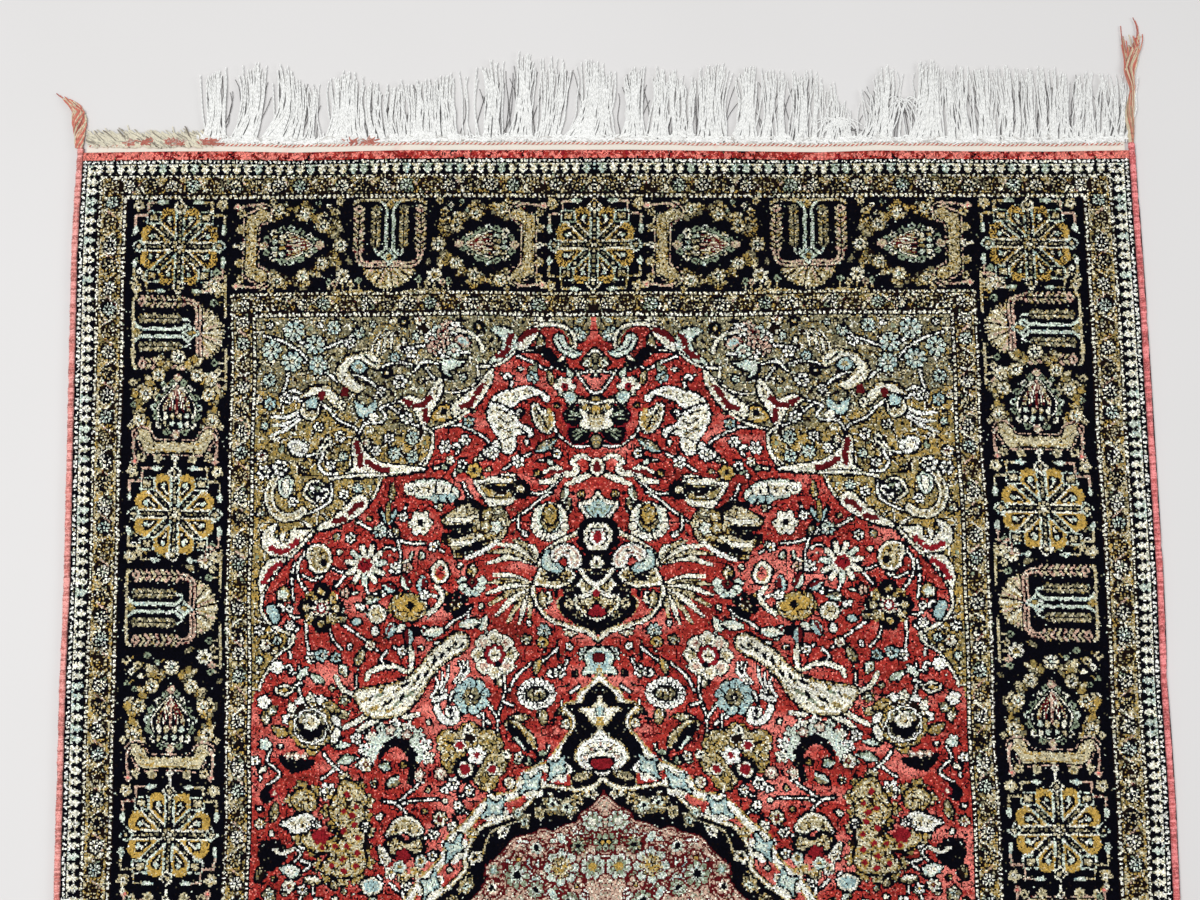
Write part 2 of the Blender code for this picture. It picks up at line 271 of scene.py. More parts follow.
# The bands from the edge inwards: kind, where each starts from the side and from the end (mm).
BANDS = (("edge", 0.0, 0.0), ("outer dots", 0.0, 8.4), ("reciprocal", 6.6, 13.9), ("dots", 18.0, 24.4),
         ("guard", 23.0, 28.2), ("dots", 43.0, 44.0), ("main", 49.0, 50.4), ("dots", 154.0, 143.5),
         ("guard", 158.5, 148.5), ("dots", 175.6, 164.0), ("field", 180.4, 170.0))
# The middle lines of both guard bands, from the side and the end, and half the width of their vine (mm).
GUARD_VINES = ((33.0, 36.1, 7.0), (167.0, 156.3, 6.6))
MAIN_BANDS = slice(6, 8)      # the main border and the band inside it
DOT_PITCH = 4.7               # one light knot of a dotted line
RECIPROCAL_PITCH = (9.9, 10.7)        # one figure along the side, and along the end
GUARD_PITCH = 21.5            # half a wave of a guard band's vine
ROSETTE_LINE = 416.0          # the middle of the main border, from the middle line
TOP_LINE = 708.0              # the middle of the main border at the end
COLUMN_ROSETTES = (708.0, 443.8, 139.5)
BORDER_END = 640              # where the end border starts, from the middle
# Half the width of a light figure of the reciprocal band, as a share of its pitch, from outside inwards.
FIGURE = ((0.0, 0.50), (0.12, 0.44), (0.22, 0.28), (0.34, 0.19), (0.46, 0.33), (0.58, 0.41), (0.68, 0.28),
    (0.80, 0.16), (0.92, 0.11), (1.0, 0.0))


def knot_bands(chart):
    """Every straight band of the border, mitred at the corner."""
    x, y = np.meshgrid(chart.x, chart.y)
    from_side, from_end = HALF_WIDTH + x, HALF_LENGTH - y
    rng = np.random.default_rng(21)
    for (kind, side, end), (_, side_next, end_next) in zip(BANDS[:-1], BANDS[1:]):
        inside = (from_side >= side) & (from_end >= end)
        inside &= ~((from_side >= side_next) & (from_end >= end_next))
        by_side = (from_side - side) / max(side_next - side, 0.01)
        by_end = (from_end - end) / max(end_next - end, 0.01)
        upright = by_side < by_end
        if kind == "edge":
            upright = np.zeros_like(inside)
        depth = np.clip(np.where(upright, by_side, by_end), 0, 1)
        along = np.where(upright, y, x) + HALF_LENGTH
        if kind == "edge":
            reds = np.interp(x, (-505, -430, -330, 0), (0.95, 0.6, 0.45, 0.45))
            chart.paint(inside, SALMON)
            chart.paint(inside & (cloud(rng, 3) + 0.4 * chart.ragged[0] > reds), RED)
            chart.paint(inside & (chart.ragged[0] + chart.ragged[1] > 0.9), CRIMSON)
        elif kind.endswith("dots"):
            # loose light knots on a dark line, none quite like the next
            spot = along / DOT_PITCH
            index = np.floor(spot).astype(int)
            shift, slant, wide, tall = rng.uniform(-1, 1, (4, 400))[:, index]
            part = spot - index - 0.5 - 0.14 * shift
            off = depth - 0.5
            oval = ((part + slant * off) / (0.32 + 0.1 * wide)) ** 2 + (off / (0.29 + 0.1 * tall)) ** 2
            chart.paint(inside, NAVY if kind == "outer dots" else BROWN)
            chart.paint(inside & (oval < 1), WHITE if kind == "outer dots" else IVORY)
            chart.paint(inside & (np.abs(off) > 0.36), NAVY)
        elif kind == "reciprocal":
            spot = along / np.where(upright, *RECIPROCAL_PITCH)
            index = np.floor(spot).astype(int)
            part = np.abs(spot - index - 0.5) + 0.03 * chart.ragged[2]
            width = np.interp(depth, *np.transpose(FIGURE))
            code = np.array((IVORY, IVORY, MINT))[rng.integers(0, 3, 400)][index]
            for shade in (IVORY, MINT):
                chart.paint(inside & (part < width) & (code == shade), shade)
        elif kind == "guard":
            chart.paint(inside, BEIGE)
            chart.paint(inside & (chart.ragged[3] + chart.ragged[0] > 0.2), OLIVE)


def guard_flowers(chart, line_x, line_y, half):
    """The running vine of a guard band, with a flower in each of its waves."""
    pitch = GUARD_PITCH
    spots = [(x, line_y, 0) for x in np.arange(-line_x + pitch * 0.75, 12, pitch)]
    spots += [(-line_x, y, 90) for y in np.arange(line_y - pitch * 0.75, -12, -pitch)]
    spots.append((-line_x, line_y, 45))
    flowers = ((IVORY, NAVY), (BEIGE, NAVY), (IVORY, NAVY), (MINT, NAVY), (BEIGE, BROWN))
    for k, (x, y, turn) in enumerate(spots):
        pen = Pen(chart, x, y, turn)
        up = 1 if k % 2 else -1
        vine_points = [(-pitch * 0.62, -up * half * 0.55), (-pitch * 0.28, up * half * 0.72),
            (pitch * 0.2, up * half * 0.78), (pitch * 0.58, -up * half * 0.5)]
        pen.line(vine_points, [(1.5, MOSS if k % 3 else OLIVE), (0.75, IVORY if k % 2 else ROSE)])
        leaf(pen, pitch * 0.36, -up * half * 0.2, 40 * up + 90, 8, 4.4, SAGE if k % 4 == 1 else MOSS,
            rim=BROWN)
        leaf(pen, -pitch * 0.42, up * half * 0.1, 200, 7, 4.0, IVORY if k % 3 == 1 else OLIVE, rim=BROWN)
        petal, ground = flowers[k % len(flowers)]
        pen.bloom(0, 0, half * 0.95, 9, [(1.22, ground), (0.95, petal), (0.45, ground), (0.22, petal)],
            depth=0.2, turn=0.3 * k, split=(0.2, 1.1, ground, 0.66))


def rosette(chart, x, y):
    """The eight-petalled rosette of the main border, with its corner brackets."""
    pen = Pen(chart, x, y)
    for k in range(8):
        own = Pen(chart, x, y, 45 * k + 22.5)
        own.area([0, 9, 4.8, 20, 9.2, 29, 8.8, 34.5, 4.5, 37.5, 0, 38.2, -4.5, 37.5, -8.8, 34.5, -9.2, 29,
            -4.8, 20], [(3.0, NAVY), (1.7, MINT if k % 2 else IVORY), (0, OCHRE)])
        for a, r in ((-50, 9.4), (-30, 9.6), (-10, 10.2), (10, 10.2), (30, 9.6), (50, 9.4)):
            t = math.radians(a)
            own.bloom(r * math.sin(t), 28.6 + r * math.cos(t), 2.5, 3, [(1, OCHRE if a % 20 else BROWN)],
                depth=0)
        own.area([0, 18, 2.6, 24, 4.6, 29, 3.4, 32, 0, 33, -3.4, 32, -4.6, 29, -2.6, 24],
            [(0.8, BROWN), (0, NAVY)])
        side = -1 if k % 2 else 1
        own.area([(side * 0.5, 27.5), (side * 3.4, 29.5), (side * 2, 32), (-side * 0.5, 31)], [(0.2, MINT)])
        own.line([(-side * 1.9, 29), (-side * 0.4, 25), (side * 0.6, 21)], [(0.7, IVORY)])
    for k in range(4):
        own = Pen(chart, x, y, 90 * k + 45)
        own.line([0, 9, 0, 31], [(4.2, MINT if k % 2 else IVORY), (2.7, NAVY)], soft=False)
        for i in range(4):
            own.line([(0, 12.4 + 4.4 * i), (0.4, 13.6 + 4.4 * i)], [(0.8, (MOSS, BEIGE)[i % 2])],
                soft=False)
    for sx in (-1, 1):
        for sy in (-1, 1):
            own = Pen(chart, x, y)
            own.area([(sx * a, sy * b) for a, b in ((20.5, 24), (32.5, 24), (32.5, 34.5), (20.5, 34.5))],
                [(1.2, MINT), (-0.2, NAVY), (-2.4, BEIGE)], soft=False)
            for path, tip, long, wide in (([(23, 44.5), (32, 44.5), (32, 35)], (18, 44.5), 5.0, 2.2),
                    ([(33, 31.5), (44.5, 31.5), (44.5, 21)], (44.5, 16.5), 2.2, 5.0)):
                own.line([(sx * a, sy * b) for a, b in path], [(1.0, ROSE if sx * sy < 0 else BEIGE)],
                    soft=False)
                cx, cy = sx * tip[0], sy * tip[1]
                own.area([(cx - long, cy), (cx, cy + wide), (cx + long, cy), (cx, cy - wide)],
                    [(0.2, MINT)])
            own.bloom(sx * 42, sy * 41.5, 6.0, 5, [(1, BEIGE), (0.4, IVORY), (0.2, NAVY)], depth=0.3,
                turn=math.pi / 4)
    for k in range(4):
        own = Pen(chart, x, y, 90 * k)
        own.line([0, 7, 0, 38], [(4.7, IVORY if k % 2 else MINT), (3.1, NAVY)], soft=False)
        for i in range(6):
            own.line([(-0.5, 10.6 + 4.4 * i), (0.5, 12.6 + 4.4 * i)], [(0.8, (MOSS, BEIGE)[i % 2])],
                soft=False)
        own.area([0, 34.5, 5.6, 40, 0, 46.5, -5.6, 40], [(1.1, MINT if k % 2 else IVORY), (-0.3, NAVY),
            (-2.2, BEIGE)], soft=False)
    pen.bloom(0, 0, 7.4, 8, [(1.2, NAVY), (0.95, BEIGE), (0.55, NAVY), (0.36, IVORY)], depth=0.3,
        split=(0.3, 1.1, NAVY, 0.55))


def scroll(pen):
    """The gold bracket between a rosette and a wreath. Its ends roll up away from the rosette."""
    half = [(0, 4.5), (20, 5), (25, 12), (31, 16.5), (38, 15), (41, 9.5), (38, 7), (34.5, 5), (31, -2),
        (25, -6.5), (0, -5.5)]
    whole = half + [(-a, b) for a, b in reversed(half[1:-1])]
    pen.area(whole, [(3.0, ROSE), (1.9, NAVY), (0, BEIGE)])
    for s in (-1, 1):
        pen.line([(s * 38, 13), (s * 41.5, 6), (s * 41, -4), (s * 39.5, -12)], [(2.4, NAVY), (1.2, ROSE)])
        pen.bloom(s * 39.5, -15, 3.4, 4, [(1, ROSE), (0.4, SALMON)], depth=0.25)
        pen.bloom(s * 33, -11, 4.4, 5, [(1, BEIGE), (0.4, NAVY)], depth=0.3)
        pen.bloom(s * 17, -12, 4.8, 5, [(1, BEIGE), (0.4, MOSS)], depth=0.3)
        pen.bloom(s * 45, 20, 3.6, 4, [(1, BEIGE), (0.4, NAVY)], depth=0.3)
        pen.line([(s * 12, 3), (s * 24, 3), (s * 33, 11)], [(0.5, OLIVE)])
    pen.line([0, -8, 0, -19], [(1.2, IVORY)])
    pen.line([-26, -3, 0, -4.5, 26, -3], [(0.55, OLIVE)])
    pen.bloom(0, -11, 3.6, 4, [(1, IVORY), (0.4, NAVY)], depth=0.3)


def wreath(pen, wide=1.0):
    """A pine-cone palmette in a garland of blossoms and maple leaves."""
    body = [(0, -29), (7, -26), (13, -19), (17, -10), (18, -1), (14.5, 9), (9, 18), (4, 25), (0, 31),
        (-4, 25), (-9, 18), (-14.5, 9), (-18, -1), (-17, -10), (-13, -19), (-7, -26)]
    body = [(a * wide, b) for a, b in body]
    for k, (a, b) in enumerate(body):
        pen.bloom(a * 0.95, b * 0.95, 3.8, 4, [(1, (MINT, SAGE, IVORY, SAGE)[k % 4]), (0.5, NAVY)],
            depth=0.25)
    pen.area(body, [(-1.8, SAGE), (-3.0, NAVY), (-4.6, IVORY), (-5.6, NAVY)])
    for a in (-10, -5, 0, 5, 10):
        pen.line([(a * wide, -10), (a * 0.8 * wide, 5 - abs(a) * 0.2), (a * 0.35, 19 - abs(a) * 0.4)],
            [(1.4, (ROSE, IVORY, BEIGE)[abs(a) // 5]), (0.5, MAROON)])
    for b in (-20, -13):
        for a in (-8, -3, 3, 8):
            leaf(pen, a * wide, b, -a, 7, 4.2, (IVORY, MINT, BEIGE)[(a + b) % 3])
    pen.bloom(0, 28, 4.2, 4, [(1.2, NAVY), (1, ROSE), (0.4, BEIGE)], depth=0.15)
    pen.bloom(0, -28, 4.4, 4, [(1, ROSE), (0.5, BEIGE)], depth=0.2)
    for s in (-1, 1):
        pen.line([(s * 4, 46), (s * 20, 31), (s * 32, 12), (s * 37, -12), (s * 29, -28)],
            [(1.6, NAVY), (0.8, BEIGE)])
        for a, b, turn, long in ((10, 39, -52, 13), (25, 23, -46, 12), (34, 4, -20, 12), (36, -10, -10, 13),
                (16, 44, -70, 11), (40, 10, 15, 12), (30, -20, 10, 11)):
            own = pen.own(s * a, b, s * turn)
            for lobe in (-38, 0, 38):
                leaf(own, 0, -2, lobe, long * (0.76 if lobe else 1.1), 6.4,
                    (OLIVE, BEIGE, MOSS)[(a + lobe) % 3], rim=BROWN, edge=0.5)
        for a, b in ((19, 31), (31, 12), (36, -14)):
            pen.bloom(s * a, b, 7.0, 7, [(1.2, NAVY), (1, BEIGE), (0.7, IVORY), (0.42, NAVY), (0.2, MINT)],
                depth=0.25, split=(0.3, 1.1, OLIVE, 0.4))
    pen.bloom(0, 49, 7.6, 8, [(1.2, NAVY), (1, BEIGE), (0.8, IVORY), (0.42, NAVY), (0.2, MINT)], depth=0.25,
        split=(0.3, 1.1, NAVY, 0.4))


def feather(pen, u, low, high, code, other, reach=4.6):
    """A stem with paired leaves like a herringbone."""
    steps = int((high - low) / 4.6)
    for i in range(steps + 1):
        v = low + i * (high - low) / steps
        for s in (-1, 1):
            pen.line([(u, v), (u + s * reach, v + 4.2)], [(1.3, code if i % 2 else other)], soft=False)
    pen.line([(u, low - 2), (u, high + 1)], [(0.62, NAVY)], soft=False)
    pen.bloom(u, high + 4.2, reach * 0.85, 4, [(1.0, other), (0.42, NAVY)], depth=0.2)


def tree(pen):
    """The four-stemmed tree of the main border. Its root is on the inner side."""
    turns = [math.radians(a) for a in range(-86, 87, 4)]
    pen.area([(r * math.sin(a), -8 - r * math.cos(a)) for a, r in zip(turns, (23, 27.5) * 22)],
        [(0.6, BEIGE)], soft=False)
    for k in range(17):
        a = math.radians((k - 8) * 10.5)
        pen.line([(4 * math.sin(a), -8 - 4 * math.cos(a)), (25 * math.sin(a), -8 - 25 * math.cos(a))],
            [(0.75, (IVORY, BROWN, ROSE, OLIVE)[k % 4])], soft=False)
    for s in (-1, 1):
        pen.line([(s * 31, -1), (s * 29, -7), (s * 22, -10.5), (s * 2, -10)],
            [(4.4, NAVY), (3.0, ROSE), (0.7, NAVY)])
        feather(pen, s * 31, 1, 42, BEIGE, ROSE)
        feather(pen, s * 14, 6, 43, BEIGE, MOSS, 3.5)
        pen.line([(s * 14, 5), (s * 12, 0), (s * 5, -3)], [(1.1, MINT)])
    for s in (-1, 1):
        pen.line([(s * 9, 54), (s * 4.0, 47), (s * 3.4, 40), (s * 4.1, 32), (s * 3.3, 24), (s * 4, 14),
            (s * 3.6, 7), (s * 9, 0)], [(2.3, NAVY), (1.55, MINT)])
        pen.line([(s * 2, 54.6), (s * 31, 54.6), (s * 36, 51)], [(1.5, BEIGE)])
    pen.area([0, -10, 5, -3, 0, 4, -5, -3], [(1.3, MINT), (-0.8, NAVY), (-1.8, OLIVE)], soft=False)
    pen.area([-4, 51, 0, 47, 4, 51, 0, 54], [(0.4, OLIVE)], soft=False)
    for s in (-1, 1):
        pen.line([(s * 16, -37.5), (s * 56, -37.5)], [(1.2, BEIGE)])
        small_bloom(pen, s * 46, -22, 7.6, IVORY, OLIVE, NAVY, 7)
        leaf(pen, s * 38, -12, s * -20, 10, 5, MOSS)
        pen.line([(s * 46, -30), (s * 46, -37)], [(1, BEIGE)])
        for a, b, tint in ((30, -28, SAGE), (60, -30, SAGE), (38, -32, BEIGE), (54, -31, ROSE)):
            pen.line([(s * a, b - 6), (s * a, b)], [(0.9, BEIGE)])
            pen.bloom(s * a, b + 2, 3.6, 4, [(1, tint), (0.4, NAVY)], depth=0.25)
        for k, (a, b) in enumerate(((50, 54), (61, 49), (72, 53), (55, 43), (66, 40), (78, 45), (58, 33),
                (88, 52), (52, 24), (64, 30))):
            pen.bloom(s * a, b, 3.0 if k % 3 else 4.4, 4, [(1, (BEIGE, IVORY, SAGE)[k % 3]), (0.4, NAVY)],
                depth=0.25)
            pen.line([(s * a, b - 3), (s * (a - 3), b - 6)], [(0.6, OLIVE)])


def main_border(chart):
    """The navy border: rosettes, brackets, wreaths and trees in turn along the end and the side."""
    end = ((-205.0, "tree", 0), (-303.0, "wreath", 0), (-343.0, "scroll", 0), (-107.0, "wreath", 1),
           (-66.0, "scroll", 1))
    side = ((622.0, "tree", 0), (549.0, "wreath", 0), (509.5, "scroll", 0), (353.0, "tree", 0),
        (247.5, "wreath", 0), (207.5, "scroll", 0), (70.0, "scroll", 1), (31.0, "wreath", 1),
        (0.0, "tree", 0))
    for x, kind, back in end:
        if kind == "tree":
            tree(Pen(chart, x, 698.5, 0))
        else:
            (wreath if kind == "wreath" else scroll)(Pen(chart, x, TOP_LINE, 90 if back else -90))
    for y, kind, back in side:
        if kind == "tree":
            tree(Pen(chart, -406.0, y, 90))
        else:
            pen = Pen(chart, -ROSETTE_LINE, y, 180 if back else 0)
            wreath(pen, 1.3) if kind == "wreath" else scroll(pen)
    for y in COLUMN_ROSETTES:
        rosette(chart, -ROSETTE_LINE, y)
    rosette(chart, 0.0, TOP_LINE)


# The edge of the red field against the gold corners, from the middle line down to the side (mm).
FIELD_EDGE = (8, 628, -3, 627, -8, 612, -18, 608, -24, 608, -28, 618, -40, 627, -58, 623, -72, 612,
    -80, 600, -95, 588, -105, 584, -107, 570, -113, 555, -125, 542, -142, 530, -160, 523, -164, 508,
    -166, 492, -172, 483, -190, 481, -208, 479, -217, 463, -233, 447, -255, 434, -277, 427, -288, 415,
    -302, 402, -318, 386, -327, 370, -328, 352, -320, 338, -306, 329, -297, 326, -298, 318, -312, 309,
    -320, 298, -328, 287, -334, 275, -337, 262, -338, 240, -338, -8, 8, -8)
MEDALLION = (8, 290, -3, 286, -10, 277, -19, 271, -23, 263, -34, 260, -36, 253, -29, 247, -28, 238,
    -33, 230, -44, 216, -52, 206, -64, 202, -80, 192, -86, 179, -107, 175, -122, 164, -136, 149, -151, 137,
    -158, 118, -177, 100, -188, 85, -200, 68, -214, 48, -224, 28, -232, 10, -234, -8, 8, -8)
MEDALLION_PENDANT = (8, 282, 0, 280, -14, 269, -17, 261, -33, 258, -26, 249, -24, 238, -37, 220, -39, 206,
    -31, 192, -26, 176, 8, 176)
MEDALLION_RIM = (8, 184, 0, 190, -7, 184, -22, 180, -41, 182, -60, 184, -70, 172, -84, 159, -104, 151,
    -119, 146, -128, 134, -135, 119, -134, 107, -150, 91, -165, 80, -174, 64, -188, 50, -194, 34, -206, 18,
    -208, -8, 8, -8)
MEDALLION_HEART = (8, 178, -1, 174, -11, 164, -23, 157, -27, 149, -38, 147, -50, 141, -60, 144, -69, 139,
    -87, 135, -96, 124, -107, 113, -111, 98, -121, 84, -134, 72, -140, 56, -154, 44, -158, 24, -168, 10,
    -170, -8, 8, -8)
RIBBON_SHARE = 0.72           # the light part of a ribbon's drawn width


def ribbon(chart, points, half=2.2):
    """A plain band of the arabesque."""
    light = half * RIBBON_SHARE
    chart.line(points, [(light + 1.5, NAVY), (light, IVORY)])


def split_leaf(chart, points, marks, core=IVORY, heart=MAROON):
    """A white arabesque leaf with a dark red vein made of short marks."""
    chart.area(points, [(LINE, NAVY), (0, core)])
    for path in marks:
        chart.line(path, [(3.0, heart)], taper=0.3)
        for x, y in dots(path):
            chart.bloom(x, y, 3.6, 4, [(1, heart)], depth=0.4, turn=0.9 * x)


def sprinkle(chart, spots):
    """Round blossoms. Each spot is x, y, radius and its kind."""
    for x, y, radius, kind in spots:
        petals, rings, depth, split = BLOOMS[kind]
        edge = [(1 + LINE / radius, NAVY), *rings]
        chart.bloom(x, y, radius, petals, edge, depth=depth, turn=0.37 * x, split=split)


# Kinds of round blossoms: petals, rings, how deep the petals are cut, and the lines that split them.
BLOOMS = {
    "white": (6, ((1, WHITE), (0.5, NAVY), (0.25, IVORY)), 0.35, (0.3, 1.04, NAVY, 0.44)),
    "ivory": (7, ((1, IVORY), (0.45, MAROON), (0.22, BEIGE)), 0.28, (0.45, 1.04, OLIVE, 0.36)),
    "blue": (8, ((1, MINT), (0.85, TURQUOISE), (0.66, MINT), (0.3, NAVY), (0.16, BEIGE)), 0.3,
             (0.36, 1.04, NAVY, 0.5)),
    "sky": (6, ((1, TURQUOISE), (0.5, MOSS), (0.32, NAVY), (0.16, IVORY)), 0.25, (0.5, 1.04, NAVY, 0.4)),
    "gold": (6, ((1, OCHRE), (0.6, OLIVE), (0.3, NAVY)), 0.2, None),
    "dark": (6, ((1, NAVY), (0.45, OCHRE), (0.25, IVORY)), 0.4, None),
    "rose": (8, ((1, ROSE), (0.6, IVORY), (0.3, CRIMSON)), 0.25, (0.4, 0.95, IVORY)),
    "moss": (5, ((1, MOSS), (0.45, MINT), (0.2, NAVY)), 0.3, None),
}


def corner_ground(chart):
    """The gold corners behind the field, with the arabesques that edge them."""
    x, y = np.meshgrid(chart.x, chart.y)
    inside = (HALF_WIDTH + x >= BANDS[-1][1]) & (HALF_LENGTH - y >= BANDS[-1][2])
    chart.paint(inside, OLIVE)
    chart.paint(inside & (y + 0.28 * x > 470), MOSS)
    edge, _ = chart.distance(smooth(FIELD_EDGE, True, 3), True, x, y)
    chart.paint(inside & (edge < 0), RED)
    return inside


def corner_arabesques(chart):
    """Ribbons and split leaves along the edge of the field."""
    ribbon(chart, [-22, 602, -19, 611, -23, 621, -33, 627, -48, 628, -62, 623, -74, 613, -80, 603])
    split_leaf(chart, [-80, 601, -75, 611, -64, 621, -54, 624, -60, 613, -70, 604],
        [[-74, 612, -66, 619, -58, 622]])
    split_leaf(chart, [-40, 616, -38, 606, -30, 598, -20, 595, -13, 600, -22, 603, -28, 609, -32, 618], [],
        MINT)
    chart.line([-36, 612, -31, 604, -22, 600], [(0.8, NAVY)])
    split_leaf(chart, [-79, 602, -77, 611, -82, 620, -92, 625, -103, 622, -96, 616, -92, 608, -96, 600,
        -104, 592, -106, 586, -95, 588, -86, 594], [[-83, 615, -86, 608], [-87, 602, -92, 597, -98, 595]],
        MINT)
    ribbon(chart, [-80, 600, -93, 589, -106, 585, -118, 585], 1.3)
    ribbon(chart, [-118, 585, -117, 573, -125, 563, -140, 559, -154, 560], 1.2)
    split_leaf(chart, [-103, 583, -104, 570, -112, 555, -124, 542, -139, 534, -143, 545, -131, 556,
        -118, 566, -109, 577], [[-113, 566, -119, 558], [-121, 553, -126, 547, -133, 545]])
    ribbon(chart, [-126, 541, -142, 530, -161, 524], 1.5)
    split_leaf(chart, [-197, 551, -186, 557, -173, 552, -166, 560, -155, 574, -153, 560, -161, 545,
        -166, 535, -171, 524, -176, 534, -183, 546], [[-190, 552, -184, 549],
        [-180, 547, -172, 548, -166, 554], [-170, 541, -169, 533]])
    ribbon(chart, [-171, 526, -163, 520, -162, 508, -166, 496, -172, 486], 2.0)
    split_leaf(chart, [-238, 517, -242, 505, -240, 490, -248, 481, -230, 478, -205, 480, -185, 482,
        -168, 485, -190, 489, -212, 492, -226, 501], [[-237, 511, -235, 503], [-233, 500, -234, 490],
        [-226, 493, -216, 487, -207, 485]])
    ribbon(chart, [-208, 480, -240, 480, -262, 477], 1.8)
    ribbon(chart, [-213, 477, -219, 462, -234, 446, -255, 433, -277, 427], 1.5)
    split_leaf(chart, [-277, 428, -260, 430, -240, 439, -226, 451, -229, 459, -238, 461, -246, 452,
        -258, 441], [[-258, 436, -249, 438], [-243, 444, -238, 450, -232, 452]])
    split_leaf(chart, [-277, 427, -287, 413, -303, 402, -319, 403, -328, 413, -328, 426, -316, 434,
        -317, 425, -310, 414, -302, 419, -300, 427, -288, 428], [[-320, 411, -312, 407, -303, 408],
        [-299, 412, -294, 417]], IVORY, CRIMSON)
    ribbon(chart, [-279, 426, -292, 411, -306, 396, -318, 382, -326, 367, -328, 352, -321, 340, -307, 331,
        -297, 328], 2.0)
    split_leaf(chart, [-304, 399, -318, 400, -327, 392, -331, 376, -327, 368, -319, 383],
        [[-311, 395, -320, 388, -325, 378]], IVORY, CRIMSON)
    ribbon(chart, [-297, 328, -299, 318, -312, 309, -320, 298, -327, 286, -331, 276], 1.6)
    for x, y in ((-313, 297), (-326, 264)):
        chart.bloom(x, y, 6.5, 5, [(1.25, NAVY), (1, WHITE)], depth=0.25)
    chart.area([-322, 355, -314, 354, -310, 343, -315, 338, -321, 346], [(LINE, NAVY), (0, TURQUOISE)])


# Stems on the gold corners, each a row of x and y.
CORNER_STEMS = ([-330, 618, -312, 612, -296, 602, -284, 590, -268, 580, -258, 572],
    [-296, 612, -276, 604, -256, 610, -244, 616, -238, 624], [-306, 585, -308, 572, -312, 560],
    [-256, 572, -240, 578, -226, 572, -212, 560], [-276, 552, -266, 545, -256, 534, -240, 527, -235, 520,
    -238, 516], [-235, 521, -228, 531, -214, 531, -209, 538, -214, 545, -206, 549, -196, 552],
    [-204, 547, -194, 538, -184, 530, -172, 526], [-262, 472, -262, 458, -272, 449, -288, 442],
    [-300, 500, -280, 500, -266, 508], [-218, 584, -200, 590, -184, 588], [-190, 604, -170, 606],
    [-170, 584, -160, 572, -152, 566], [-182, 580, -172, 590, -158, 588], [-270, 500, -274, 490, -268, 482,
    -256, 482], [-160, 596, -142, 600, -126, 598])


# Round blossoms on the gold corners, each an x, a y, a radius and a kind.
CORNER_BLOOMS = ((-300, 622, 10.5, "blue"), (-323, 604, 10, "blue"), (-280, 608, 10, "blue"),
    (-303, 592, 10.5, "blue"), (-277, 588, 9.5, "blue"), (-260, 625, 6.5, "blue"), (-325, 574, 6.5, "blue"),
    (-309, 556, 5.5, "white"), (-324, 551, 6, "sky"), (-275, 527, 5, "white"), (-253, 518, 5.5, "white"),
    (-250, 498, 4.5, "blue"), (-205, 516, 5.5, "white"), (-182, 515, 6.5, "blue"), (-200, 501, 6.5, "blue"),
    (-182, 497, 6, "blue"), (-218, 504, 5, "white"), (-195, 571, 7, "white"), (-184, 600, 6, "white"),
    (-174, 632, 5.5, "ivory"), (-235, 620, 5.5, "blue"), (-214, 562, 5, "white"), (-188, 535, 6, "white"),
    (-245, 610, 5.5, "white"), (-330, 500, 5.5, "ivory"), (-312, 488, 8, "white"), (-328, 484, 7, "white"),
    (-262, 490, 5, "white"), (-300, 455, 5, "white"), (-330, 445, 5, "moss"), (-250, 462, 5, "white"),
    (-236, 468, 4.5, "blue"), (-324, 318, 5.5, "ivory"), (-330, 332, 5, "white"), (-313, 322, 4.5, "blue"),
    (-200, 595, 4.5, "sky"), (-208, 580, 5, "dark"), (-190, 630, 5, "dark"), (-16, 618, 7.5, "blue"),
    (-14, 632, 6, "moss"), (-115, 624, 5, "dark"), (-318, 428, 4.6, "gold"), (-228, 512, 4.2, "ivory"),
    (-340, 590, 5, "dark"), (-335, 555, 4, "ivory"))


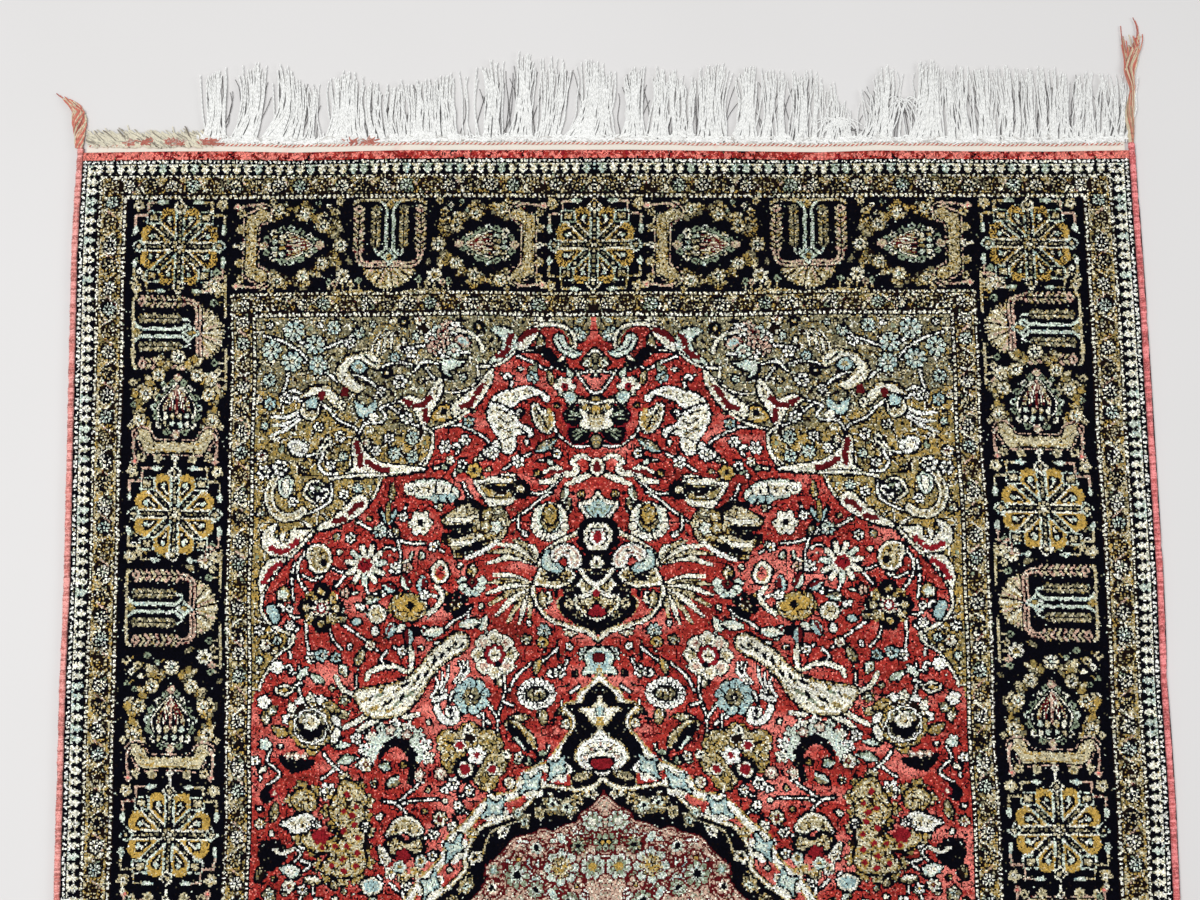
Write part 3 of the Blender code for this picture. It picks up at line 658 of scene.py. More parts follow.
def corner_motifs(chart):
    """Birds, clouds and blossoms on the gold ground."""
    pen = Pen(chart, 0, 0)
    for path in CORNER_STEMS:
        vine(pen, path, half=0.95)
    # the upper bird, bent over its own back
    for k in range(7):
        pen.line([(-224 + k * 3.4, 598 + k), (-221 + k * 3.0, 608 + k * 1.2), (-213 + k * 2.2, 621)],
            [(2.2, NAVY), (1.2, (IVORY, BEIGE)[k % 2])], taper=0.4)
    chart.shape([-234, 600, -247, 597, -257, 587, -258, 575, -249, 566, -238, 561, -230, 567, -240, 574,
        -247, 583, -239, 590, -229, 587, -217, 584, -215, 594, -223, 600], (0, BEIGE), (-2.0, IVORY))
    chart.shape([-244, 586, -236, 592, -228, 585, -236, 580], (0, TURQUOISE), (-2.4, MOSS))
    chart.line([-231, 598, -224, 592, -217, 590], [(0.8, NAVY)])
    # the lower bird, with its long tail to the left
    for path in ([-288, 548, -304, 538, -322, 538], [-290, 542, -304, 531, -320, 530],
            [-290, 538, -306, 526, -323, 519], [-292, 552, -300, 556, -306, 550],
            [-290, 558, -300, 563, -308, 561]):
        pen.line(path, [(3.4, NAVY), (1.9, WHITE)], taper=0.5)
    chart.shape([-294, 556, -284, 566, -268, 567, -256, 558, -249, 548, -256, 543, -264, 552, -274, 559,
        -284, 556], (0, BEIGE), (-1.8, IVORY))
    chart.shape([-290, 552, -282, 555, -274, 548, -278, 536, -288, 535, -293, 543],
        (0, IVORY), (-2.6, BEIGE))
    chart.shape([-288, 552, -280, 556, -277, 547, -284, 545], (0, TURQUOISE))
    chart.bloom(-253, 549, 4.6, 5, [(1.35, NAVY), (1, IVORY), (0.4, NAVY)])
    for x, y in ((-273, 558), (-250, 561)):
        chart.area([(x - 3, y - 3), (x + 2, y - 4), (x + 3.4, y + 3), (x - 2, y + 4)], [(0.4, MAROON)])
    chart.shape([-240, 553, -228, 546, -219, 553, -220, 543, -228, 537, -236, 539],
        (0, TURQUOISE), (-2.8, MINT))
    chart.bloom(-221, 537, 4.4, 5, [(1.3, NAVY), (1, IVORY)])
    # the cloud of petals near the middle line, and the gold arch beside it
    for k, (x, y) in enumerate(((-163, 613), (-155, 620), (-146, 624), (-138, 622), (-130, 615),
            (-160, 604), (-150, 600), (-141, 601), (-152, 610))):
        chart.bloom(x, y, 7.5, 7, [(1.2, NAVY), (1, (WHITE, MINT, ROSE)[k % 3]), (0.5, NAVY), (0.34, ROSE)],
            0.3, 0.4 * k, split=(0.35, 1, NAVY))
    ribbon(chart, [-136, 621, -124, 618, -115, 609, -112, 600], 2.6)
    chart.shape([-140, 611, -132, 616, -124, 608, -131, 604], (0, ROSE), (-2, TURQUOISE))
    chart.shape([-154, 588, -142, 591, -130, 590, -138, 583, -146, 580, -143, 573, -152, 577],
        (0, NAVY), (-1.2, MINT))
    chart.area([-156, 589, -146, 592, -136, 592, -144, 588], [(0, MINT)])
    chart.shape([-163, 536, -156, 545, -147, 546, -138, 540, -145, 533, -156, 531],
        (0, OCHRE), (-2.4, BEIGE))
    chart.bloom(-151, 540, 3.4, 4, [(1, NAVY)])
    # the white C and its speckled blossoms, the navy palmette
    chart.line([-317, 478, -323, 464, -320, 449, -309, 440, -297, 441, -290, 446],
        [(5.6, NAVY), (4.0, IVORY), (1.6, BEIGE)])
    chart.shape([-290, 462, -284, 474, -274, 475, -264, 466, -270, 456, -280, 454],
        (0, IVORY), (-2.4, NAVY), (-5.4, SAGE))
    for x, y, turn in ((-282, 470, 200), (-274, 462, 160), (-266, 468, 120)):
        leaf(pen, x, y, turn, 8, 3.4, WHITE)
    chart.shape([-304, 512, -296, 515, -288, 511, -286, 504, -292, 499, -302, 502],
        (0, WHITE), (-3.4, NAVY), (-4.6, IVORY))
    chart.shape([-266, 518, -262, 512, -270, 504, -278, 497, -274, 506], (0, IVORY), (-2.2, NAVY))
    chart.shape([-313, 476, -303, 480, -300, 470, -305, 459, -312, 463], (0, MINT), (-2.2, NAVY),
        (-3.6, IVORY))
    sprinkle(chart, CORNER_BLOOMS)


# Stems on the red field, each a row of x and y.
FIELD_STEMS = ([-78, 601, -62, 602, -50, 600], [-77, 596, -62, 590, -48, 583, -36, 592],
    [-20, 581, -12, 580, 0, 584], [-20, 582, -12, 570, -6, 562, 0, 559], [-34, 588, -22, 580],
    [-94, 578, -84, 572, -86, 562], [-60, 548, -46, 538, -38, 520, -22, 508, -8, 508, 0, 510],
    [-134, 526, -120, 520, -108, 512, -100, 500], [-150, 526, -134, 527], [-86, 462, -72, 462, -56, 461,
    -42, 470, -34, 480], [-84, 434, -70, 444, -56, 456, -46, 462], [-78, 440, -78, 428, -74, 424],
    [-132, 470, -128, 460, -124, 455], [-66, 500, -80, 492, -92, 484], [-198, 408, -206, 411, -214, 404],
    [-238, 386, -252, 388, -262, 393], [-170, 413, -184, 414, -196, 418, -212, 424, -226, 430, -236, 436],
    [-212, 434, -204, 424, -196, 418], [-196, 417, -192, 402, -194, 392], [-226, 378, -222, 366, -212, 368],
    [-256, 372, -246, 384, -240, 392], [-282, 412, -292, 396, -292, 382, -286, 372, -280, 364],
    [-296, 396, -298, 380, -296, 360], [-288, 384, -276, 379, -272, 384], [-302, 352, -296, 344, -284, 346],
    [-252, 341, -240, 332, -226, 322, -214, 312], [-262, 334, -258, 322, -250, 314],
    [-284, 340, -284, 322, -280, 306], [-292, 334, -302, 320, -300, 306], [-292, 298, -292, 280, -290, 268],
    [-300, 290, -290, 292, -282, 290], [-290, 282, -300, 278, -310, 276], [-122, 352, -126, 344, -118, 334,
    -108, 328, -106, 316], [-162, 364, -148, 358], [-92, 286, -92, 272, -94, 262, -98, 250, -99, 236],
    [-88, 272, -80, 286, -66, 298], [-84, 258, -94, 262], [-108, 260, -100, 248],
    [-112, 236, -112, 246, -106, 240], [-132, 270, -142, 272, -146, 262], [-254, 204, -262, 198, -270, 192],
    [-248, 196, -260, 206, -268, 216], [-318, 220, -322, 208, -310, 196, -322, 186],
    [-160, 172, -180, 172, -198, 170, -212, 172], [-196, 172, -186, 180, -174, 190],
    [-198, 168, -190, 160, -186, 150], [-176, 136, -166, 140, -156, 150], [-192, 100, -192, 88, -190, 76],
    [-204, 96, -196, 88], [-278, 96, -276, 84], [-290, 116, -280, 112, -290, 104],
    [-296, 128, -290, 122, -298, 112], [-172, 40, -186, 52, -204, 58, -222, 54],
    [-236, 30, -252, 40, -270, 42], [-300, 60, -290, 46, -292, 28], [-316, 20, -304, 8, -306, -6],
    [-244, 76, -262, 68, -276, 56], [-150, 330, -140, 338, -128, 344], [-236, 290, -236, 276],
    [-206, 312, -212, 304, -206, 300], [-54, 300, -40, 312], [-30, 302, -36, 292, -44, 290],
    [-28, 270, -20, 276], [-184, 196, -176, 190])


# Tendrils on the field: x, y, turn and size.
FIELD_CURLS = ((-84, 575, 100, 9), (-128, 456, 200, 8), (-74, 424, 240, 7), (-212, 366, 300, 9),
    (-274, 382, 300, 8), (-306, 350, 60, 10), (-112, 246, 60, 9), (-146, 258, 200, 12), (-44, 292, 160, 9),
    (-300, 292, 40, 9), (-226, 232, 20, 9), (-194, 392, 180, 8), (-150, 178, 60, 8), (-292, 128, 300, 9),
    (-262, 100, 200, 8), (-108, 498, 120, 9), (-138, 498, 20, 13), (-212, 100, 100, 8), (-320, 60, 60, 9),
    (-260, 30, 200, 9))


# Leaves on the field: x, y, turn, length, width and the colours of both halves.
FIELD_LEAVES = ((-66, 576, -28, 16, 6, MOSS, SAGE), (-56, 600, -10, 18, 6, MOSS, OLIVE),
    (-24, 574, 20, 12, 5, MINT, SAGE), (-44, 568, 10, 14, 5, MOSS, BEIGE), (-60, 502, -60, 24, 8, MOSS,
    TURQUOISE), (-120, 540, 60, 14, 5, MOSS), (-156, 444, 5, 16, 6, MOSS, BEIGE),
    (-34, 450, -8, 18, 6, MOSS, MINT), (-28, 456, 170, 16, 5, MOSS), (-202, 456, 0, 16, 5, MOSS, OLIVE),
    (-196, 420, 20, 12, 5, MOSS), (-252, 430, 60, 16, 6, MOSS, IVORY), (-226, 360, -80, 14, 7, MOSS, MINT),
    (-244, 344, 100, 14, 7, MOSS, BEIGE), (-142, 362, 90, 12, 5, MOSS, OCHRE),
    (-96, 276, 20, 14, 5, MOSS, IVORY), (-88, 246, -85, 20, 6, BEIGE, MOSS),
    (-54, 240, 10, 22, 8, MOSS, BEIGE), (-62, 288, -15, 14, 6, MOSS, OCHRE), (-284, 296, 140, 14, 6, MINT),
    (-268, 282, 60, 15, 6, MINT, SAGE), (-252, 300, 210, 14, 7, MINT, MOSS),
    (-236, 300, -30, 16, 7, MOSS, BEIGE), (-324, 242, -4, 18, 7, MOSS, IVORY),
    (-254, 208, -75, 18, 7, SAGE, MINT), (-256, 222, -80, 14, 5, MINT), (-244, 252, 80, 12, 7, MOSS, BEIGE),
    (-208, 186, -60, 20, 8, MINT, MOSS), (-300, 200, -70, 20, 6, MINT, MOSS),
    (-318, 152, -10, 18, 7, MOSS, BEIGE), (-270, 96, 80, 16, 8, MOSS, IVORY),
    (-330, 96, -20, 18, 8, MOSS, BROWN), (-206, 122, 60, 14, 8, MOSS, IVORY),
    (-256, 90, 20, 14, 7, MOSS, BEIGE), (-170, 96, 150, 14, 7, BEIGE, MOSS),
    (-188, 336, 120, 14, 6, IVORY, MINT), (-146, 316, 80, 14, 6, MINT, IVORY),
    (-108, 342, 160, 14, 6, IVORY, MINT), (-176, 206, 10, 18, 6, MOSS, BEIGE),
    (-216, 76, 40, 14, 6, MOSS, MINT), (-306, 84, -40, 15, 7, IVORY, MOSS),
    (-238, 60, 100, 15, 6, MOSS, BEIGE), (-200, 24, 20, 15, 6, MINT, MOSS),
    (-282, 14, -30, 15, 6, MOSS, IVORY), (-254, 8, 60, 14, 6, MOSS, BEIGE))


# Round blossoms on the field, each an x, a y, a radius and a kind.
FIELD_BLOOMS = ((-63, 575, 5.5, "sky"), (-126, 530, 5, "sky"), (-130, 512, 5.5, "white"),
    (-103, 500, 6.5, "white"), (-78, 492, 6, "white"), (-121, 482, 7, "gold"), (-150, 506, 6.5, "white"),
    (-214, 426, 6.5, "blue"), (-197, 390, 6, "white"), (-242, 420, 5, "white"), (-280, 306, 5.5, "white"),
    (-270, 308, 6, "sky"), (-300, 336, 5, "white"), (-222, 318, 5, "ivory"), (-168, 364, 5, "white"),
    (-26, 330, 7, "ivory"), (-52, 329, 6.5, "blue"), (-13, 306, 6.5, "blue"), (-38, 290, 6, "white"),
    (-236, 230, 5.5, "white"), (-228, 206, 7, "ivory"), (-248, 266, 5, "moss"), (-318, 256, 5, "moss"),
    (-156, 196, 6, "rose"), (-144, 186, 6, "white"), (-230, 148, 4.5, "white"), (-164, 140, 5, "white"),
    (-158, 154, 7, "ivory"), (-330, 150, 4.5, "ivory"), (-276, 150, 4.6, "white"), (-300, 92, 6, "ivory"),
    (-318, 84, 6.5, "moss"), (-272, 76, 6, "white"), (-236, 72, 7, "blue"), (-206, 60, 7, "gold"),
    (-250, 52, 8, "sky"), (-290, 60, 7, "ivory"), (-316, 40, 7, "blue"), (-232, 24, 7, "ivory"),
    (-268, 22, 8, "gold"), (-300, 14, 7, "white"), (-250, 0, 7, "dark"), (-326, 2, 6, "moss"),
    (-286, 0, 5, "ivory"), (-90, 186, 5.5, "ivory"), (-176, 64, 6, "ivory"), (-186, 92, 5, "white"),
    (-8, 590, 6, "moss"), (-300, 352, 3.5, "white"), (-54, 318, 5, "gold"), (-70, 320, 5, "moss"),
    (-256, 306, 5, "sky"))


def field_motifs(chart):
    """Animals, palmettes, blossoms and stems on the red ground, from the end towards the middle."""
    pen = Pen(chart, 0, 0)
    for path in FIELD_STEMS:
        vine(pen, path, half=0.85)
    for spot in FIELD_CURLS:
        curl(pen, *spot)
    # top of the field
    chart.shape([8, 604, 0, 603, -8, 598, -10, 588, -4, 580, 0, 578, 8, 578],
        (0, IVORY), (-2.6, NAVY), (-3.8, MOSS))
    chart.shape([-52, 598, -46, 603, -38, 594, -28, 588, -32, 582, -44, 590], (0, NAVY))
    leaf(pen, -30, 596, 130, 9, 4, IVORY)
    for spot in FIELD_LEAVES:
        leaf(pen, *spot)
    # the white beast that rears among the stems
    chart.shape([-105, 549, -98, 558, -85, 562, -70, 566, -57, 563, -47, 556, -49, 551, -57, 557, -66, 556,
        -75, 551, -84, 545, -96, 542], (0, WHITE), (-2.6, IVORY))
    chart.shape([-104, 549, -108, 536, -103, 524, -97, 514, -96, 503, -86, 499, -79, 507, -80, 516,
        -72, 520, -64, 516, -64, 524, -76, 530, -80, 538, -88, 544], (0, WHITE), (-3, IVORY))
    chart.shape([-108, 506, -98, 512, -96, 502, -104, 494, -112, 498], (0, WHITE))
    for path in ([-99, 543, -90, 541, -82, 544], [-96, 534, -89, 530, -82, 532],
            [-96, 526, -88, 522, -76, 524, -68, 519], [-92, 512, -84, 516], [-80, 540, -74, 536]):
        chart.line(path, [(0.8, NAVY)])
    chart.bloom(-76, 540, 4.6, 5, [(1.3, NAVY), (0.7, WHITE), (0.4, NAVY)])
    chart.bloom(-56, 556, 2.2, 4, [(1, NAVY)])
    # leaf palmette beside it, the black-petalled flower and the ivory star flowers
    chart.shape([-64, 547, -58, 548, -52, 540, -42, 540, -42, 528, -47, 520, -54, 522, -62, 532],
        (0, IVORY), (-2.4, OLIVE), (-4.4, BEIGE))
    chart.line([-60, 545, -54, 536, -48, 524], [(1.0, NAVY)])
    chart.line([-47, 542, -44, 530], [(2.6, OCHRE)])
    for x, y, turn in ((-8, 541, 58), (-6, 526, 118), (-9, 536, 84)):
        own = Pen(chart, x, y, turn)
        own.area([0, 0, 8, 8, 8, 18, 0, 23, -8, 18, -8, 8], [(2.6, CRIMSON), (1.4, NAVY)])
        for a in (-4, 0, 4):
            own.line([(a * 0.4, 4), (a, 18)], [(0.6, SAGE)])
    chart.shape([8, 551, -8, 551, -17, 544, -12, 536, -16, 529, -6, 524, 8, 520],
        (0, IVORY), (-3.8, BEIGE))
    chart.shape([8, 556, -10, 553, -14, 546, -6, 541, 8, 539], (0, OLIVE), (-2.6, OCHRE))
    chart.shape([8, 518, -3, 518, -4, 508, 8, 504], (0, MOSS))
    chart.line([-28, 549, -14, 552, 0, 549], [(2.6, NAVY), (1.2, IVORY)])
    pen.bloom(-31, 566, 10.5, 6, [(1.17, NAVY), (1, IVORY), (0.42, CRIMSON), (0.2, NAVY)], 0.3)
    chart.shape([-32, 560, -22, 560, -20, 552, -28, 550], (0, MINT), (-1.8, TURQUOISE))
    for path in ([-2, 490, -14, 498, -24, 492, -20, 484, -30, 480, -40, 486, -52, 482],
            [-38, 480, -44, 474, -56, 472], [-6, 480, -16, 476, -30, 470]):
        pen.line(path, [(4.6, NAVY), (3.0, IVORY)], taper=0.4)
    chart.line([-46, 482, -34, 483, -24, 487], [(1.4, MAROON)])
    chart.shape([8, 494, -4, 494, -6, 482, 8, 476], (0, IVORY), (-3, MAROON))
    # striped palmette, cartouche and lesser palmettes above the pendant
    chart.shape([-110, 474, -84, 480, -80, 470, -84, 452, -104, 447, -112, 456, -122, 472],
        (0, IVORY), (-2.6, NAVY), (-3.8, OLIVE))
    for y in (453, 460, 467, 474):
        chart.line([(-108, y), (-96, y - 1.5), (-86, y)], [(2.3, (IVORY, OLIVE, NAVY,
            IVORY)[(y - 453) // 7])])
        chart.line([(-106, y + 3), (-86, y + 3)], [(0.7, NAVY)])
    chart.line([-114, 476, -122, 484, -118, 494], [(3.4, NAVY), (2.0, OLIVE)])
    pen.bloom(-76, 465, 9.5, 5, [(1.1, NAVY), (0.42, BEIGE), (0.2, IVORY)], 0.15)
    chart.shape([8, 466, 0, 464, -6, 456, -19, 451, -16, 445, -10, 436, 0, 431, 8, 431],
        (0, IVORY), (-3, NAVY), (-4.2, TURQUOISE))
    chart.line([-9, 448, -4, 442, 0, 452], [(1.0, SAGE)])
    chart.shape([-47, 452, -34, 447, -30, 434, -36, 422, -47, 416, -58, 422, -65, 434, -60, 447],
        (0, IVORY), (-4.2, MINT), (-7.0, NAVY), (-8.2, OLIVE))
    for a in range(9):
        t = math.radians(200 + a * 17.5)
        chart.bloom(-47 + 15.5 * math.cos(t), 434 + 15.5 * math.sin(t), 4.3, 4, [(1.2, NAVY), (1, IVORY)],
            0.1)
    chart.shape([-53, 446, -47, 450, -41, 446, -41, 436, -47, 430, -53, 436], (0, OCHRE), (-2.2, OLIVE))
    chart.shape([-116, 447, -120, 452, -130, 453, -138, 447, -146, 441, -152, 438, -150, 430, -140, 424,
        -152, 416, -142, 408, -138, 398, -128, 402, -112, 410, -94, 416, -88, 432, -92, 444, -104, 444],
        (0, BEIGE))
    for path, code in (([-140, 450, -126, 452, -116, 444, -114, 432], NAVY),
            ([-148, 436, -132, 434, -120, 438], IVORY), ([-150, 428, -134, 427, -122, 430], NAVY),
            ([-152, 420, -136, 420, -124, 424], NAVY), ([-142, 412, -128, 412, -114, 420], IVORY),
            ([-138, 404, -126, 406, -110, 414], NAVY), ([-128, 398, -112, 404, -98, 414], WHITE)):
        chart.line(path, [(3.2, NAVY), (2.4, code)], taper=0.3)
    for x, y, tint in ((-108, 440, OLIVE), (-98, 442, MOSS), (-92, 432, BEIGE), (-100, 428, MINT),
            (-110, 428, OLIVE)):
        chart.bloom(x, y, 6.2, 5, [(1.2, BROWN), (1, tint), (0.4, IVORY)], 0.3)
    pen.bloom(-174, 433, 12, 6, [(1.14, NAVY), (1, IVORY), (0.3, NAVY)], 0.28)
    chart.shape([-186, 468, -176, 474, -160, 474, -146, 470, -137, 462, -140, 454, -152, 452, -166, 456,
        -178, 458], (0, MINT), (-2.4, IVORY))
    for x in (-160, -152, -144):
        chart.bloom(x, 456, 4, 4, [(1.3, NAVY), (1, TURQUOISE)], 0.1)
        chart.line([(x, 460), (x + 1, 471)], [(0.7, NAVY)])
    pen.bloom(-184, 466, 6.5, 5, [(1.25, NAVY), (1, IVORY), (0.55, NAVY), (0.3, WHITE)], 0.25)
    chart.shape([-214, 447, -206, 440, -198, 447, -203, 434, -209, 434], (0, TURQUOISE), (-2.2, BEIGE))
    pen.line([-206, 452, -206, 438], [(3.2, NAVY), (1.8, OLIVE)])
    # left of the field: round palmettes, spiky flower, black and gold flower
    chart.shape([-284, 408, -276, 414, -266, 412, -260, 402, -262, 390, -270, 386, -280, 390],
        (0, IVORY), (-3.0, OLIVE), (-5.6, BEIGE))
    chart.bloom(-267, 396, 3.6, 4, [(1, NAVY)])
    for k in range(11):
        t = 2 * math.pi * k / 11
        pen.line([(-226 + 6 * math.cos(t), 394 + 6 * math.sin(t)), (-226 + 18 * math.cos(t + 0.12),
            394 + 18 * math.sin(t + 0.12))], [(4.2, NAVY), (2.7, IVORY if k % 4 else MINT)], taper=0.1)
    pen.bloom(-227, 394, 7.5, 7, [(1.2, IVORY), (1, CRIMSON), (0.5, NAVY), (0.36, CRIMSON)], 0.2)
    for k in range(4):
        t = math.pi / 2 * k
        x, y = -269 + 14.5 * math.cos(t), 353 + 15 * math.sin(t)
        chart.bloom(x, y, 9, 6, [(1.1, NAVY), (0.42, BEIGE), (0.2, OLIVE)], 0.15)
        x, y = -269 + 15 * math.cos(t + math.pi / 4), 353 + 14 * math.sin(t + math.pi / 4)
        chart.bloom(x, y, 6.6, 5, [(1, OLIVE), (0.5, BEIGE)], 0.3)
    pen.bloom(-269, 353, 8.4, 8, [(1.1, NAVY), (1, IVORY), (0.66, CRIMSON), (0.4, WHITE)], 0.3,
        split=(0.3, 1, NAVY))
    chart.shape([-312, 369, -304, 373, -299, 366, -303, 360, -311, 361], (0, OLIVE), (-2.6, MINT))
    # the large gold and pale blue palmette with its curled leaves
    chart.shape([-200, 360, -192, 366, -176, 364, -166, 356, -168, 346, -180, 340, -194, 342, -202, 350],
        (0, OLIVE), (-4, OCHRE))
    for a, b, turn, tint in ((-196, 372, 60, TURQUOISE), (-184, 374, 20, MINT), (-172, 372, -10, TURQUOISE),
            (-198, 342, 150, TURQUOISE), (-184, 336, 180, TURQUOISE), (-170, 338, 210, MINT)):
        leaf(pen, a, b - 4, turn, 15, 8, tint, MAROON)
    chart.bloom(-182, 354, 4.6, 4, [(1, NAVY)], 0.3)
    chart.shape([-222, 352, -214, 356, -206, 350, -208, 342, -216, 338, -222, 344],
        (0, IVORY), (-3, BEIGE))
    for x, y, turn, tint in ((-226, 352, 60, WHITE), (-230, 340, 90, TURQUOISE), (-216, 336, 170, WHITE)):
        leaf(pen, x, y, turn, 10, 6, tint)
    chart.line([-164, 346, -156, 352, -150, 362, -156, 372], [(3.6, NAVY), (2.2, IVORY)])
    # blossoms of the middle part
    chart.shape([-160, 391, -152, 396, -146, 390, -144, 382, -150, 374, -158, 376, -162, 384],
        (0, IVORY), (-3.2, OCHRE), (-4.8, RED))
    for k in range(6):
        t = math.radians(170 + k * 40)
        chart.bloom(-121 + 9.5 * math.cos(t), 374 + 8.5 * math.sin(t), 4.8, 4, [(1.25, NAVY), (1, MINT)],
            0.2)
    pen.bloom(-121, 375, 5.2, 4, [(1.2, NAVY), (1, MAROON), (0.5, NAVY)], 0.2)
    leaf(pen, -121, 380, 5, 12, 8, OLIVE, BEIGE)
    for k in range(6):
        t = math.radians(30 + k * 60)
        chart.bloom(-137 + 8.6 * math.cos(t), 354 + 8.6 * math.sin(t), 5, 4, [(1, NAVY)], 0.2)
    pen.bloom(-137, 354, 5.6, 6, [(1, OLIVE), (0.5, OCHRE)], 0.3)
    for x, y, turn in ((-134, 334, -80), (-150, 330, 100)):
        leaf(pen, x, y, turn, 20, 8, MINT, IVORY)
    # the peacock at the pendant's side: its fan and its raised wing
    for root, tips, lift in (((-57, 370), ((-100, 382), (-105, 374), (-107, 364), (-105, 353), (-98, 343),
            (-87, 337), (-76, 336), (-66, 342)), 4), ((-54, 391), ((-106, 393), (-107, 403), (-97, 411),
            (-82, 415), (-66, 410)), 7)):
        for k, (x, y) in enumerate(tips):
            pen.line([root, ((root[0] + x) / 2 - 2, (root[1] + y) / 2 + lift), (x, y)],
                [(4.0, NAVY), (2.6, (IVORY, BEIGE)[k % 2])], taper=0.5)
    # smaller things lower down
    for k in range(8):
        t = math.pi / 4 * k
        chart.bloom(-101 + 15.5 * math.cos(t), 306 + 15.5 * math.sin(t), 7.6, 4,
            [(1.16, NAVY), (1, IVORY), (0.5, ROSE if k % 2 else BEIGE)], 0.15)
    pen.bloom(-101, 306, 10.5, 8, [(1.1, NAVY), (1, CRIMSON), (0.6, IVORY), (0.34, BEIGE)], 0.2)
    chart.bloom(-98, 297, 3.4, 4, [(1, NAVY)])
    for k in range(8):
        t = math.pi / 4 * k + 0.2
        chart.bloom(-124 + 11.6 * math.cos(t), 267 + 11.6 * math.sin(t), 6.2, 4,
            [(1.2, NAVY), (1, TURQUOISE)], 0.1)
    pen.bloom(-124, 267, 8.5, 6, [(1.1, NAVY), (1, MOSS), (0.45, NAVY), (0.2, IVORY)], 0.15)
    for k in range(20):
        t = 2 * math.pi * k / 20
        chart.bloom(-61 + 15.5 * math.cos(t), 269 + 11.8 * math.sin(t), 3.3, 4, [(1.3, NAVY), (1, WHITE)],
            0.1)
    pen.bloom(-61, 269, 12.6, 12, [(1.05, WHITE), (1, NAVY), (0.72, MOSS), (0.4, OLIVE)], 0.1, squash=0.66)
    pen.line([-150, 272, -158, 262, -154, 248, -144, 243, -138, 248, -140, 256],
        [(4.4, NAVY), (3.0, WHITE)], taper=0.2)
    pen.line([-160, 264, -150, 268], [(4.0, NAVY), (2.6, WHITE)])
    chart.shape([-92, 240, -86, 246, -74, 238, -64, 228, -63, 216, -70, 224, -78, 234],
        (0, BEIGE), (-2.2, OLIVE))
    chart.shape([-88, 238, -80, 236, -70, 220, -72, 216, -82, 226], (0, NAVY))
    chart.line([-82, 228, -74, 218], [(1.2, MINT)])
    pen.bloom(-43, 234, 7, 5, [(1.12, MAROON), (0.9, RED), (0.6, MAROON), (0.42, SALMON)], 0.25)
    # the lobed olive flower with its red eyes
    for x, y, r in ((-146, 224, 13), (-126, 230, 13), (-108, 222, 14), (-104, 204, 13), (-112, 190, 12),
            (-142, 208, 13)):
        chart.bloom(x, y, r, 9, [(1.12, NAVY), (1, OLIVE)], 0.12)
    for x, y, r in ((-146, 224, 11), (-126, 228, 12), (-108, 220, 13), (-106, 204, 12), (-114, 192, 10)):
        chart.bloom(x, y, r, 7, [(1, BEIGE), (0.72, OLIVE)], 0.2)
    pen.bloom(-132, 199, 11.5, 8, [(1.1, NAVY), (0.64, IVORY), (0.46, CRIMSON)], 0.08)
    for x, y in ((-136, 221), (-106, 199)):
        pen.bloom(x, y, 6.4, 6, [(1.15, NAVY), (1, IVORY), (0.66, CRIMSON)], 0.25)
    pen.bloom(-120, 212, 9, 5, [(1.15, NAVY), (1, WHITE), (0.4, CRIMSON)], 0.35)
    pen.bloom(-128, 236, 5, 5, [(1.25, NAVY), (1, IVORY), (0.4, NAVY)], 0.3)
    pen.bloom(-92, 212, 6.5, 6, [(1, BEIGE), (0.6, IVORY), (0.25, NAVY)], 0.3)
    # the gazelle
    for path in ([-238, 271, -249, 276, -256, 288], [-226, 252, -238, 245, -248, 240],
            [-186, 292, -204, 298, -222, 293, -226, 286], [-206, 250, -222, 245, -234, 238],
            [-196, 256, -188, 250, -176, 252]):
        pen.line(path, [(4.0, NAVY), (2.4, IVORY)], taper=0.25)
    pen.line([-184, 288, -182, 303, -183, 316], [(4.2, NAVY), (2.6, IVORY)], taper=0.3)
    chart.shape([-238, 273, -227, 253, -208, 249, -188, 254, -174, 269, -164, 285, -149, 300, -137, 306,
        -127, 314, -127, 324, -138, 327, -152, 319, -166, 307, -176, 295, -187, 287, -201, 282, -217, 279],
        (0, BEIGE), (-2.2, IVORY))
    chart.bloom(-139, 317, 2.4, 4, [(1, NAVY)])
    chart.line([-131, 317, -136, 313, -142, 313], [(0.8, NAVY)])
    for x, y in ((-228, 266), (-219, 258), (-214, 270), (-206, 263), (-198, 274), (-196, 262), (-188, 280),
            (-184, 270), (-210, 276), (-204, 256)):
        chart.line([(x - 3, y - 1), (x + 3, y + 2)], [(1.5, (OLIVE, NAVY, SAGE)[x % 3])])
    for x, y in ((-176, 286), (-168, 290), (-160, 300), (-152, 306), (-144, 312), (-222, 268), (-192, 268),
            (-180, 262)):
        chart.line([(x - 1, y - 2), (x + 1, y + 2)], [(1.3, NAVY)])
    for k in range(3):
        pen.line([(-146 - 6 * k, 296 - 5 * k), (-148 - 5 * k, 284 - 4 * k), (-154 - 5 * k, 273 - 3 * k)],
            [(2.6, NAVY), (1.2, WHITE)], taper=0.3)
    for k in range(3):
        pen.line([(-136 + 4 * k, 300), (-134 + 3 * k, 290), (-142 + 3 * k, 280)],
            [(2.6, NAVY), (1.2, WHITE)], taper=0.3)
    for x in range(-168, -140, 7):
        chart.line([(x, 297 + (x + 168) * 0.6), (x + 1, 301 + (x + 168) * 0.6)], [(0.9, NAVY)])
